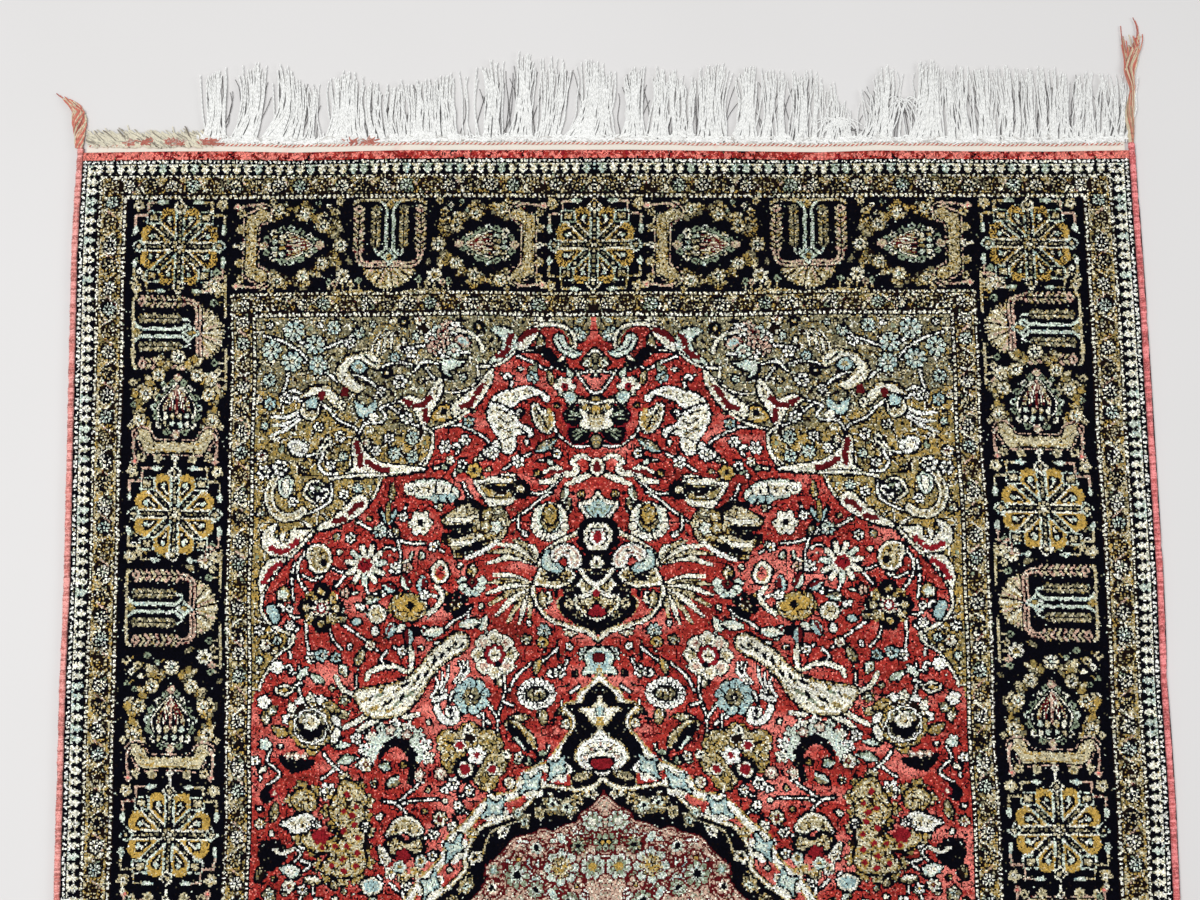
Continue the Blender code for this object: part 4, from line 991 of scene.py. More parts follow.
    # the curled dark leaf under it
    for k, (x, y) in enumerate(((-232, 208), (-228, 220), (-221, 231), (-211, 239), (-198, 243),
            (-186, 240), (-176, 233), (-169, 223), (-167, 211))):
        chart.bloom(x, y, 6.4, 5, [(1.24, NAVY), (1, (MINT, WHITE, IVORY)[k % 3]), (0.4, NAVY),
            (0.3, MINT)], 0.5, k)
    pen.line([-222, 212, -214, 228, -198, 234, -182, 226, -176, 212], [(6.4, MINT)], taper=0.25)
    pen.line([-212, 212, -206, 223, -195, 226, -186, 218, -183, 205, -185, 190], [(4.6, NAVY)], taper=0.2)
    for x, y in ((-212, 217), (-208, 225), (-200, 229), (-188, 224), (-181, 214), (-180, 203), (-187, 197)):
        chart.line([(x, y), (x + 2, y + 1)], [(2.4, NAVY)])
    pen.line([-207, 212, -198, 217, -191, 208, -192, 192], [(5.0, RED)], taper=0.2)
    leaf(pen, -204, 202, 70, 11, 7, MINT, SAGE)
    for x, y in ((-176, 196), (-187, 233), (-203, 238)):
        pen.bloom(x, y, 5, 5, [(1.25, NAVY), (1, ROSE), (0.5, IVORY)], 0.25)
    # the round palmette in rings, and what lies beside it
    for k, (x, y) in enumerate(((-303, 248), (-298, 258), (-290, 264), (-280, 267), (-270, 265),
            (-262, 257))):
        chart.bloom(x, y, 5.6, 5, [(1.25, NAVY), (1, (WHITE, IVORY)[k % 2])], 0.35, k)
    for x, y, turn, tint in ((-268, 262, -110, OLIVE), (-258, 252, -165, WHITE), (-254, 240, 160, IVORY),
            (-302, 232, 60, OLIVE), (-284, 216, -60, OLIVE)):
        leaf(pen, x, y, turn, 17, 9, tint)
    pen.bloom(-280, 241, 22, 9, [(1.07, NAVY), (1, OLIVE), (0.84, NAVY), (0.79, WHITE), (0.71, NAVY),
        (0.66, MOSS)], 0.1)
    chart.shape([-290, 242, -288, 234, -281, 230, -273, 233, -270, 241, -276, 238, -284, 238], (0, NAVY))
    pen.bloom(-280, 245, 8.5, 6, [(1.15, NAVY), (1, IVORY), (0.5, BEIGE)], 0.2)
    chart.shape([-310, 212, -304, 210, -296, 216, -288, 208, -278, 208, -286, 202, -300, 201, -306, 206],
        (0, NAVY))
    for x in (-302, -294, -286):
        chart.bloom(x, 213, 3.6, 4, [(1, ROSE), (0.5, IVORY)], 0.2)
    pen.bloom(-324, 224, 6, 5, [(1.25, NAVY), (1, MINT)], 0.3)
    pen.bloom(-264, 180, 8.5, 6, [(1.2, NAVY), (1, WHITE), (0.4, MOSS)], 0.3, split=(0.3, 1, NAVY))
    chart.shape([-328, 176, -322, 184, -317, 176, -324, 170], (0, NAVY))
    pen.bloom(-316, 178, 5, 5, [(1, CRIMSON), (0.5, ROSE)], 0.3)
    chart.shape([-296, 276, -308, 280, -316, 274, -306, 269], (0, IVORY), (-2.2, NAVY), (-3.6, OCHRE))
    # the spotted cat
    for k, (x, y) in enumerate(((-248, 192), (-234, 186), (-227, 172), (-229, 158), (-226, 144),
            (-229, 129), (-226, 115), (-236, 101), (-249, 99), (-263, 102), (-272, 112), (-278, 126),
            (-292, 136), (-260, 150), (-266, 162), (-260, 176), (-300, 172), (-290, 184), (-277, 180))):
        chart.bloom(x, y, 6.6, 5, [(1.22, NAVY), (1, (BEIGE, OLIVE)[k % 2]), (0.6, OLIVE)], 0.45, 1.3 * k)
    chart.shape([-250, 191, -236, 187, -228, 174, -231, 160, -228, 146, -230, 130, -228, 116, -236, 103,
        -262, 102, -270, 112, -262, 122, -276, 124, -290, 134, -284, 144, -272, 134, -258, 138, -256, 150,
        -264, 160, -258, 176], (0, OLIVE), (-1.8, BEIGE))
    chart.shape([-300, 172, -290, 182, -278, 178, -276, 166, -290, 160], (0, OLIVE), (-1.8, BEIGE))
    for x, y in ((-246, 178), (-238, 166), (-250, 162), (-240, 150), (-250, 144), (-236, 138), (-246, 130),
            (-258, 130), (-270, 128), (-250, 118), (-260, 112), (-238, 112), (-248, 107), (-236, 124),
            (-242, 158)):
        chart.bloom(x, y, 2.9, 4, [(1.3, OCHRE), (1, CRIMSON)], 0.2)
    chart.line([-256, 158, -254, 146, -256, 132], [(0.8, NAVY)])
    chart.line([-262, 122, -250, 126, -240, 122], [(0.8, OLIVE)])
    pen.bloom(-272, 138, 8, 6, [(1, CRIMSON)], 0.2)
    # white cloud, navy leaf and palmettes near the medallion
    chart.shape([-310, 150, -298, 156, -286, 160, -276, 152, -284, 144, -298, 141, -304, 146],
        (0, WHITE), (-3.2, IVORY))
    chart.shape([-328, 130, -318, 134, -308, 130, -304, 120, -314, 110, -322, 108, -328, 118], (0, NAVY))
    pen.line([-316, 126, -308, 122, -298, 126], [(2.6, NAVY), (1.6, IVORY)])
    chart.shape([-308, 108, -298, 112, -290, 106, -298, 99], (0, MINT), (-2.4, IVORY))
    chart.shape([-210, 138, -204, 152, -192, 158, -180, 154, -174, 142, -184, 138, -192, 143, -200, 138],
        (0, IVORY), (-2.8, BEIGE))
    chart.shape([-210, 134, -200, 140, -190, 134, -178, 138, -172, 128, -180, 120, -190, 126, -204, 122],
        (0, NAVY), (-2.2, BEIGE))
    pen.bloom(-193, 121, 7.5, 5, [(1.1, NAVY), (1, CRIMSON)], 0.3)
    for x, y, tint in ((-210, 118, IVORY), (-204, 106, IVORY), (-192, 102, BEIGE), (-180, 106, BEIGE),
            (-176, 116, MINT), (-196, 111, MINT)):
        pen.bloom(x, y, 6.2, 5, [(1.15, NAVY), (1, tint), (0.45, OLIVE)], 0.3)
    chart.shape([-232, 96, -222, 102, -212, 96, -214, 88, -226, 86], (0, IVORY), (-2.4, TURQUOISE))
    sprinkle(chart, FIELD_BLOOMS)


def pendant(chart):
    """The navy pendant between the medallion and the end, with the peacocks' heads."""
    plain = Pen(chart, 0, 0)
    edge = [8, 438, 0, 437, -13, 433, -22, 424, -36, 417, -50, 407, -57, 394, -52, 382, -63, 371,
            -60, 356, -49, 340, -27, 331, -11, 326, 0, 318, 8, 317]
    chart.shape(edge, (0, IVORY), (-2.8, BEIGE), (-4.0, NAVY), (-4.8, RED))
    chart.bloom(0, 419, 21, 9, [(1, NAVY)], 0.12)
    chart.bloom(0, 419, 14.5, 9, [(1, IVORY), (0.66, NAVY), (0.58, WHITE), (0.34, CRIMSON)], 0.14,
        split=(0.2, 0.55, CRIMSON))
    chart.area([8, 406, -6, 405, -18, 398, -17, 386, -8, 380, 8, 378], [(0, NAVY)])
    chart.bloom(0, 393, 7.5, 4, [(1, IVORY), (0.4, BEIGE)], 0.35)
    chart.area([8, 384, -8, 386, -27, 382, -34, 373, -31, 364, -38, 356, -32, 343, -16, 333, 0, 325,
        8, 324], [(0.8, BEIGE), (0, NAVY)])
    chart.area([8, 375, -4, 374, -12, 379, -19, 373, -13, 366, -21, 361, -20, 351, -9, 342, 0, 337, 8, 337],
        [(0, IVORY), (-2.4, BEIGE)])
    chart.line([-16, 388, -9, 378, 0, 371, -6, 364, -16, 361], [(3.4, NAVY), (2.2, IVORY)])
    chart.shape([8, 355, 0, 354, -9, 345, 0, 343, 8, 343], (0, CRIMSON))
    chart.bloom(0, 365, 3.4, 4, [(1, CRIMSON)])
    for x, y, radius, code in ((-25, 370, 4.6, MOSS), (-27, 355, 5, BEIGE), (-18, 344, 4, MOSS)):
        chart.bloom(x, y, radius, 5, [(1.15, NAVY), (1, code), (0.4, NAVY)], 0.3)
    for x, y, turn, code in ((-46, 366, 165, IVORY), (-53, 366, 185, BEIGE)):
        leaf(plain, x, y, turn, 15, 7, code, MOSS)
    chart.shape([-52, 391, -36, 389, -24, 389, -21, 380, -30, 372, -42, 370, -60, 374, -58, 383],
        (0, IVORY), (-2.6, BEIGE))
    for k in range(3):
        chart.line([(-54 + 4 * k, 381 - 2 * k), (-42 + 3 * k, 383 - 3 * k), (-30 + 2 * k, 381 - 3 * k)],
            [(1.0, NAVY)])
    chart.shape([-51, 403, -44, 406, -38, 395, -32, 387, -42, 384, -53, 391], (0, TURQUOISE), (-3.0, MINT))
    chart.shape([-20, 408, -30, 412, -41, 409, -45, 401, -40, 395, -34, 400, -29, 399, -27, 391, -19, 388,
        -14, 396], (0, WHITE), (-2.4, ROSE), (-4.2, IVORY))
    chart.bloom(-28, 405, 2.2, 4, [(1, NAVY)])
    chart.shape([8, 312, -7, 311, -14, 304, -12, 296, -16, 288, -6, 288, 8, 290],
        (0, MINT), (-3, TURQUOISE))
    chart.bloom(0, 303, 5.5, 5, [(1.2, NAVY), (1, MAROON)])


# Large blossoms of the medallion: x, y, radius and three colours.
HEART_BLOOMS = ((-42, 108, 17, MINT, BEIGE, OCHRE), (-84, 101, 12, SAGE, MINT, NAVY),
    (-12, 108, 12, MINT, SAGE, OCHRE), (-66, 126, 9, ROSE, MINT, NAVY), (-106, 106, 8, ROSE, SAGE,
    TURQUOISE), (-26, 128, 8, MOSS, SAGE, NAVY), (-66, 88, 8, SAGE, MINT, NAVY),
    (-108, 90, 8, ROSE, IVORY, NAVY), (-12, 150, 10, MINT, SAGE, IVORY), (-120, 60, 14, SAGE, IVORY, OCHRE),
    (-60, 52, 18, MINT, IVORY, CRIMSON), (-96, 24, 15, ROSE, MINT, NAVY), (-140, 26, 12, SAGE, IVORY,
    OCHRE), (-34, 76, 10, SAGE, MINT, NAVY))


def medallion(chart):
    """The large medallion: pale double edge with pale blue flames, navy band, rose heart."""
    x, y = np.meshgrid(chart.x, chart.y)
    for outline, coats in ((MEDALLION, ((0.8, OCHRE), (0, BEIGE), (-1.6, WHITE), (-4.6, IVORY), (-7, OCHRE),
            (-8.4, RED))), (MEDALLION_PENDANT, ((0.6, BEIGE), (0, NAVY))), (MEDALLION_RIM,
            ((2.6, NAVY), (1.4, BEIGE), (0.4, IVORY), (-1.6, BEIGE), (-2.6, NAVY)))):
        away, _ = chart.distance(smooth(outline, True, 3), True, x, y)
        for limit, code in coats:
            chart.paint(away <= limit, code)
    for a, b, turn in ((-43, 199, 35), (-69, 185, 25), (-106, 162, 20), (-144, 126, 45), (-166, 93, 50),
            (-192, 60, 48), (-214, 18, 65)):
        chart.bloom(a, b, 14, 6, [(1, WHITE), (0.86, IVORY)], 0.3, a)
        c, s = 1.1 * math.cos(math.radians(turn)), 1.1 * math.sin(math.radians(turn))
        shape = [(a + c * u - s * v, b + s * u + c * v) for u, v in ((-13, -3), (-5, 3), (-2, 10), (3, 4),
            (13, 6), (7, -1), (4, -6), (-3, -3))]
        chart.area(shape, [(1.8, NAVY), (0, TURQUOISE), (-2.2, MINT)])
    chart.area([8, 272, 0, 271, -5, 259, -20, 255, -12, 247, -8, 241, 8, 237], [(0, BEIGE), (-1.6, IVORY)])
    chart.bloom(0, 252, 4.5, 5, [(1.2, NAVY), (1, TURQUOISE)], 0.2)
    chart.bloom(0, 243, 4.5, 5, [(1, OCHRE)], 0.2)
    chart.area([8, 238, 0, 237, -9, 229, -21, 221, -26, 210, -21, 201, -11, 195, 8, 193],
        [(0, BEIGE), (-1.6, WHITE), (-7, IVORY)])
    for a, b, r in ((-15, 209, 5.5), (0, 222, 5), (-8, 216, 3.5), (-15, 200, 3)):
        chart.bloom(a, b, r, 5, [(1, NAVY), (0.78, WHITE), (0.4, ROSE)], 0.3)
    chart.shape([8, 206, 0, 208, -10, 205, -8, 200, 0, 197, 8, 197], (0, CRIMSON))
    leaf(Pen(chart, 0, 0), -28, 190, -76, 20, 7, MOSS, BEIGE)
    heart, _ = chart.distance(smooth(MEDALLION_HEART, True, 3), True, x, y)
    for limit, code in ((1.2, MAROON), (0, ROSE), (-1.5, MAROON), (-2.6, ROSE)):
        chart.paint(heart <= limit, code)
    pen = Pen(chart, 0, 0)
    # blossoms of the navy band
    for a, b, r, kind in ((-98, 141, 7, 0), (-77, 151, 8, 1), (-36, 163, 12, 1), (-50, 166, 12, 1),
            (-26, 170, 7, 2), (-63, 158, 7, 2), (-124, 118, 8, 0), (-132, 92, 9, 1), (-128, 140, 7, 2),
            (-12, 176, 7, 0), (-84, 158, 7, 1), (-146, 78, 8, 2), (-156, 62, 9, 0), (-170, 50, 8, 1),
            (-178, 32, 9, 2), (-186, 14, 9, 0), (-196, 2, 7, 1)):
        code, heart_code = ((IVORY, OLIVE), (MOSS, MINT), (BEIGE, MOSS))[kind]
        pen.bloom(a, b, r, 5, [(1, code), (0.55, heart_code), (0.24, NAVY)], 0.35, 0.4 * a, squash=0.75,
            lean=0.02 * a)
    for path in ([-118, 116, -110, 140, -86, 150, -70, 158], [-60, 160, -42, 166, -20, 176],
            [-130, 104, -140, 84, -152, 70], [-160, 52, -174, 40, -184, 22]):
        chart.line(path, [(0.7, BEIGE)])
    # sage and rose growth of the heart, dark red outlines
    rng = np.random.default_rng(41)
    for k in range(150):
        a, b = -rng.uniform(0, 172), rng.uniform(0, 172)
        row, col = int(b / KNOT[1]), int((a + HALF_WIDTH) / KNOT[0])
        if heart[row, min(col, QUARTER_KNOTS[0] - 1)] > -5:
            continue
        turn = rng.uniform(0, 360)
        if k % 4 == 0:
            small_bloom(pen, a, b, rng.uniform(6, 9), (MINT, SAGE, ROSE)[k % 3], NAVY, OCHRE, 6, rim=MAROON)
        elif k % 4 == 1:
            leaf(pen, a, b, turn, rng.uniform(11, 18), 6, (SAGE, MINT)[k % 2], rim=MAROON)
        else:
            t = np.linspace(0, 1, 4)
            path = np.column_stack([a + 22 * t * math.cos(turn) + 6 * np.sin(3.1 * t),
                b + 22 * t * math.sin(turn)])
            chart.keep = heart < -3
            chart.line(path, [(2.2, MAROON), (0.9, (ROSE, WHITE)[k % 2])])
            chart.keep = None
    for a, b, r, first, second, third in HEART_BLOOMS:
        pen.bloom(a, b, r, 8, [(1 + LINE / r, MAROON), (1, first), (0.66, second), (0.36, third)], 0.25,
            0.3 * a, split=(0.4, 0.95, MAROON))
    chart.bloom(0, 0, 46, 12, [(1.04, MAROON), (1, NAVY), (0.94, IVORY), (0.9, NAVY), (0.62, OCHRE),
        (0.58, CRIMSON), (0.4, IVORY), (0.26, TURQUOISE), (0.12, MAROON)], 0.16, split=(0.62, 0.9, MINT))


def fill_gaps(chart):
    """Small sprigs wherever the ground would otherwise lie bare, larger ones first."""
    rng = np.random.default_rng(12)
    pen = Pen(chart, 0, 0)
    grounds = ((RED, 8.0, 1.0), (RED, 5.4, 0.9), (RED, 3.8, 0.5), (OLIVE, 5.0, 1.0), (MOSS, 5.0, 1.0),
        (OLIVE, 3.6, 1.0), (MOSS, 3.6, 1.0), (NAVY, 5.2, 0.8))
    for ground, room, share in grounds:
        rows, cols = np.nonzero(chart.code == ground)
        tries = 16000 if ground == RED else 9000
        order = rng.permutation(len(rows))[:tries]
        reach = int(room / KNOT[0]) + 1
        for i in order:
            r, c = rows[i], cols[i]
            r0, r1, c0, c1 = r - reach, r + reach + 1, c - reach, c + reach + 1
            if r0 < 0 or c0 < 8 or r1 > QUARTER_KNOTS[1] - 24 or c1 > QUARTER_KNOTS[0]:
                continue
            block = chart.code[r0:r1, c0:c1]
            if (block != ground).any() or rng.random() > share:
                continue
            x, y = chart.x[c], chart.y[r]
            turn = rng.uniform(0, 360)
            kind = rng.integers(0, 6)
            if ground == RED:
                if kind < 2:
                    leaf(pen, x, y, turn, room * 1.3, min(5, room), (MOSS, BEIGE)[kind],
                        (MINT, OLIVE)[kind])
                elif kind < 4:
                    curl(pen, x, y, turn, room * 1.1, (WHITE, IVORY)[kind - 2])
                else:
                    small_bloom(pen, x, y, room * 0.6, (WHITE, BEIGE)[kind - 4], NAVY, OCHRE, 5)
            elif ground == NAVY:
                if kind < 3:
                    pen.bloom(x, y, room * 0.7, 4, [(1, (BEIGE, IVORY, SAGE)[kind]), (0.4, NAVY)], 0.3,
                        turn)
                else:
                    leaf(pen, x, y, turn, room * 1.4, 3.6, (OLIVE, MOSS, BEIGE)[kind - 3])
            elif room > 4:
                if kind < 2:
                    small_bloom(pen, x, y, room * 0.7, (WHITE, MINT)[kind], NAVY, IVORY, 5)
                elif kind == 2:
                    curl(pen, x, y, turn, room * 1.3, half=0.8)
                else:
                    leaf(pen, x, y, turn, room * 1.5, 4, (IVORY, BEIGE, SAGE)[kind - 3], None)
            elif kind < 3:
                chart.line([(x - 2.4, y - 1), (x, y + 1), (x + 2.4, y - 0.5)],
                    [(0.8, (NAVY, BROWN, IVORY)[kind])])
            else:
                pen.bloom(x, y, 2.2, 4, [(1, (NAVY, BEIGE, SAGE)[kind - 3])], 0.2, turn)


STEMS_TRIED = 2600
STEM_ROOM = 4.6               # bare ground that a stem needs on each side, mm
STEM_STEP = 2.4               # mm
STEM_POINTS = (5, 22)         # fewest and most points of a stem


def grow_stems(chart):
    """Thin stems that wander over the bare red ground, with leaves on both sides and a bud at the end."""
    rng = np.random.default_rng(29)
    pen = Pen(chart, 0, 0)
    rows, cols = np.nonzero(chart.code == RED)
    for i in rng.integers(0, len(rows), STEMS_TRIED):
        x, y = chart.x[cols[i]], chart.y[rows[i]]
        heading, bend = rng.uniform(0, 2 * math.pi), rng.choice((-1, 1)) * rng.uniform(0.01, 0.05)
        path = []
        while len(path) < STEM_POINTS[1]:
            near_rows, near_cols = chart.window(x - STEM_ROOM, x + STEM_ROOM, y - STEM_ROOM, y + STEM_ROOM)
            if x > 0 or y > BORDER_END or (chart.code[near_rows, near_cols] != RED).any():
                break
            path.append((x, y))
            x, y = x + STEM_STEP * math.cos(heading), y + STEM_STEP * math.sin(heading)
            heading, bend = heading + bend * STEM_STEP, bend * 1.05
        if len(path) < STEM_POINTS[0]:
            continue
        vine(pen, path, (WHITE, IVORY, MINT)[i % 3], 0.75)
        for k in range(3, len(path) - 1, 4):
            side = 1 if (k // 4) % 2 else -1
            (ax, ay), (bx, by) = path[k], path[k + 1]
            turn = math.degrees(math.atan2(by - ay, bx - ax)) - 90
            leaf(pen, ax, ay, turn + side * 55, 7.5, 3.6, (MOSS, SAGE, IVORY, MINT)[(i + k) % 4])
        small_bloom(pen, *path[-1], 4.4, (WHITE, IVORY, ROSE)[i % 3], NAVY, OCHRE, 5)


def scribble(chart, border):
    """Fine dark and light curls that break up the gold and beige grounds."""
    rng = np.random.default_rng(14)
    for grounds, cell, lines in (((OLIVE, MOSS), 6, ((0.05, BROWN), (0.085, IVORY))),
            ((OLIVE, MOSS), 3, ((0.05, NAVY),)), ((BEIGE,), 3, ((0.07, BROWN), (0.12, OLIVE))),
            ((OCHRE,), 5, ((0.04, BROWN), (0.09, BEIGE))), ((RED,), 6, ((0.03, NAVY),)),
            ((RED,), 3, ((0.03, NAVY),))):
        field, calm = cloud(rng, cell), cloud(rng, 9)
        ground = np.isin(chart.code, grounds) & ~border
        low = 0.0
        for width, code in lines:
            level = np.abs(field - 0.5)
            chart.code[ground & (calm > 0.36) & (level >= low) & (level < width)] = code
            low = width
    # broad light bodies, such as those of the birds, get fine lines inside them
    light = np.isin(chart.code, (IVORY, WHITE))
    core = light & ~border
    for across, along in ((3, 0), (-3, 0), (0, 3), (0, -3)):
        core &= np.roll(light, (along, across), (0, 1))
    level = np.abs(cloud(rng, 4) - 0.5)
    chart.code[core & (level < 0.04)] = BROWN
    chart.code[core & (level >= 0.04) & (level < 0.16)] = BEIGE


# A ground, and the colours that single knots of it take instead, each with its share.
STRAYS = ((IVORY, ((0.10, BEIGE), (0.22, WHITE), (0.04, SAGE), (0.06, NAVY))),
          (WHITE, ((0.14, IVORY), (0.06, MINT), (0.07, NAVY))),
          (BEIGE, ((0.16, OLIVE), (0.14, IVORY), (0.08, BROWN), (0.06, NAVY))),
          (OLIVE, ((0.14, OCHRE), (0.10, MOSS), (0.14, BEIGE), (0.07, BROWN))),
          (MOSS, ((0.16, OLIVE), (0.14, BEIGE), (0.08, BROWN), (0.03, MINT))),
          (OCHRE, ((0.04, OLIVE), (0.08, BEIGE), (0.02, BROWN))),
          (NAVY, ((0.03, BROWN), (0.012, MOSS), (0.008, MINT))),
          (RED, ((0.10, CRIMSON), (0.09, SALMON), (0.02, NAVY))),
          (MINT, ((0.12, WHITE), (0.10, TURQUOISE), (0.06, SAGE), (0.04, NAVY))),
          (TURQUOISE, ((0.2, MINT), (0.05, NAVY))), (ROSE, ((0.14, MAROON), (0.14, IVORY), (0.06, SAGE))),
          (SAGE, ((0.14, MINT), (0.10, MOSS), (0.05, NAVY))))


def stray_knots(chart, border):
    """Single knots in a neighbouring colour, as in any hand-knotted ground; fewer in the main border."""
    draw = np.random.default_rng(8).random(chart.code.shape) * np.where(border, 1.7, 1.0)
    before = chart.code.copy()
    for ground, strays in STRAYS:
        low = 0.0
        for share, code in strays:
            chart.code[(before == ground) & (draw >= low) & (draw < low + share)] = code
            low += share
    # painted shade: many light knots of the end border take a duller colour than at the sides, for the
    # darker look the pile's sheen gives the far end
    end = (chart.y > BORDER_END)[:, None] & (chart.x > -450)[None, :]
    sheen_shade = end & (np.random.default_rng(9).random(chart.code.shape) < 0.42)
    before = chart.code.copy()
    for code, sheen_shaded_code in ((IVORY, BEIGE), (WHITE, IVORY), (BEIGE, OLIVE), (OCHRE, BROWN), (OLIVE, BROWN),
            (MINT, SAGE), (ROSE, BEIGE)):
        chart.code[sheen_shade & (before == code)] = sheen_shaded_code


def draw_chart(chart):
    """The whole quarter, from the edge to the middle."""
    knot_bands(chart)
    for from_side, from_end, half in GUARD_VINES:
        guard_flowers(chart, HALF_WIDTH - from_side, HALF_LENGTH - from_end, half)
    main_border(chart)
    chart.keep = corner_ground(chart)
    corner_motifs(chart)
    field_motifs(chart)
    corner_arabesques(chart)
    pendant(chart)
    grow_stems(chart)
    chart.keep = None
    medallion(chart)
    fill_gaps(chart)
    x, y = np.meshgrid(HALF_WIDTH + chart.x, HALF_LENGTH - chart.y)
    (_, side, end), (_, side_next, end_next) = BANDS[MAIN_BANDS]
    main = (x > side) & (y > end) & ((x < side_next) | (y < end_next))
    scribble(chart, main)
    stray_knots(chart, main)


# ---------------------------------------------------------------- sizes of the frame, as in its own source
MM = 0.001
PILE_HALF_LENGTH = 0.805
PILE_THICKNESS = 0.006
KILIM_LENGTH = 0.0105
KILIM_THICKNESS = 0.002
KILIM_INSET = 0.0024
KILIM_LAP = 0.0012            # how far the flat weave runs under the pile's end
SELVEDGE_WIDTH = 0.0064
SELVEDGE_THICKNESS = 0.0052
SELVEDGE_OVERHANG = 0.0030
SELVEDGE_ROW = 0.00062        # length of one row of the side cord's faces
FUZZ_ROWS = 997               # rows of fuzz on a side cord before it repeats
GAP = 0.0003
STITCH_FROM_EDGE = 0.0034
STITCH_INSET = 0.0025         # from the corner of the flat weave
TWINE_PITCH = 0.0044
HEAD_LENGTH = 0.0125
# Distance from the pile's end, left outer edge and right outer edge, mm.
SIDE_TABLE = ((-12.0, -527.4, 521.0), (0.0, -527.7, 521.6), (60.0, -529.6, 522.8), (105.0, -530.4, 524.0),
    (170.0, -529.6, 525.8), (300.0, -528.3, 527.6), (425.0, -526.8, 530.1), (525.0, -527.7, 529.2),
    (630.0, -527.0, 531.6), (805.0, -525.8, 531.9))
# Place across from -1 to 1, and how far the end stands out there, mm.
END_TABLE = ((-1.00, -2.0), (-0.84, -1.1), (-0.72, -1.3), (-0.60, -3.0), (-0.39, -1.0), (0.05, -1.8),
    (0.29, -4.2), (0.41, -5.4), (0.52, -3.8), (0.70, -5.2), (0.86, -5.9), (1.00, -5.0))
# Distance from the middle along the rug, and where the pattern's own middle line runs there, mm.
AXIS_TABLE = ((84, -7.9), (179, -9.4), (264, -11.5), (283, -12.0), (383, -14.4), (494, -14.3), (603, -15.3),
    (633, -15.3), (698, -15.2), (740, -15.0), (795, -14.7))
# X and length of the far fringe there, mm.
FRINGE_TABLE = ((-526, 13), (-476, 12), (-431, 15), (-409, 15), (-407, 68), (-370, 78), (-354, 79),
    (-325, 70), (-299, 58), (-269, 72), (-218, 57), (-162, 65), (-118, 80), (-88, 89), (-61, 82), (-28, 80),
    (4, 62), (28, 75), (53, 74), (75, 64), (106, 82), (138, 75), (164, 76), (198, 72), (220, 58), (241, 36),
    (253, 62), (275, 76), (317, 82), (349, 76), (416, 76), (470, 72), (520, 64))
# The clumps of the far fringe: roots from and to, tips from and to, mm, and the share of strands left.
CLUMP_TABLE = ((-407, -379, -398, -384, 1.0), (-379, -353, -362, -344, 1.0), (-353, -308, -330, -307, 1.0),
    (-308, -284, -299, -289, 0.35), (-284, -257, -271, -257, 1.0), (-257, -206, -264, -210, 1.0),
    (-206, -150, -209, -154, 1.0), (-150, -128, -156, -130, 0.4), (-128, -108, -125, -112, 1.0),
    (-108, -101, -110, -96, 0.6), (-101, -72, -89, -76, 1.0), (-72, -51, -64, -37, 1.0),
    (-51, -7, -23, -2, 1.0), (-7, 9, -6, 1, 0.5), (9, 37, 17, 33, 1.0), (37, 59, 45, 58, 1.0),
    (59, 87, 59, 88, 0.8), (87, 118, 92, 119, 1.0), (118, 148, 129, 147, 1.0), (148, 176, 153, 176, 0.75),
    (176, 205, 181, 209, 1.0), (205, 246, 210, 244, 0.35), (246, 281, 257, 283, 1.0),
    (295, 336, 313, 333, 1.0), (336, 363, 335, 357, 1.0), (363, 386, 360, 380, 0.9),
    (386, 443, 388, 441, 1.0), (443, 489, 446, 490, 1.0), (489, 514, 491, 518, 1.0))
# Strands of the far fringe that arch over: roots from and to, their reach and height, mm, and how many.
ARCH_TABLE = ((208, 234, 30, 27, 9), (234, 251, -28, 24, 8), (277, 289, 24, 44, 9), (295, 311, -26, 50, 7),
    (-31, -11, 16, 48, 8))
# Distance past the tassel's head, distance outward, width of its spread, mm.
TASSEL_LEFT = ((0, 2, 11), (14, 2, 15), (25, 2.5, 14), (32, 8, 12), (38, 16, 8), (44, 24, 4))
TASSEL_RIGHT = ((0, 0, 6.5), (10, -0.5, 9), (22, 0, 8), (42, 3.5, 4), (52, 2.5, 8), (62, 2, 12),
    (72, 4, 15), (84, 5, 20), (98, 5, 23), (118, 4, 26))


def column(table, at, index):
    """A table's column at a place, in straight lines between its rows."""
    rows = np.asarray(table, float)
    return np.interp(at, rows[:, 0], rows[:, index])


def outer_edge(y, side):
    """X of the rug's outer edge, in metres before the frame is centred; side is -1 or 1."""
    return column(SIDE_TABLE, (PILE_HALF_LENGTH - np.abs(y)) / MM, 1 if side < 0 else 2) * MM


def body_edges(y):
    """X of the woven body's left and right edge, before the frame is centred."""
    inset = SELVEDGE_WIDTH + GAP
    return outer_edge(y, -1) + inset, outer_edge(y, 1) - inset


KILIM_LEFT, KILIM_RIGHT = (edge + side * KILIM_INSET for edge, side in zip(body_edges(PILE_HALF_LENGTH
    + KILIM_LENGTH), (1, -1)))
# The frame is centred on its own box: this is how far it was moved along X.
SHIFT = BODY_LOW[0] - float(min(body_edges(np.linspace(0, PILE_HALF_LENGTH, 400))[0]))


def end_shift(x):
    """How far the end of the rug stands out at x."""
    across = 2.0 * (x - KILIM_LEFT) / (KILIM_RIGHT - KILIM_LEFT) - 1.0
    return column(END_TABLE, across, 1) * MM


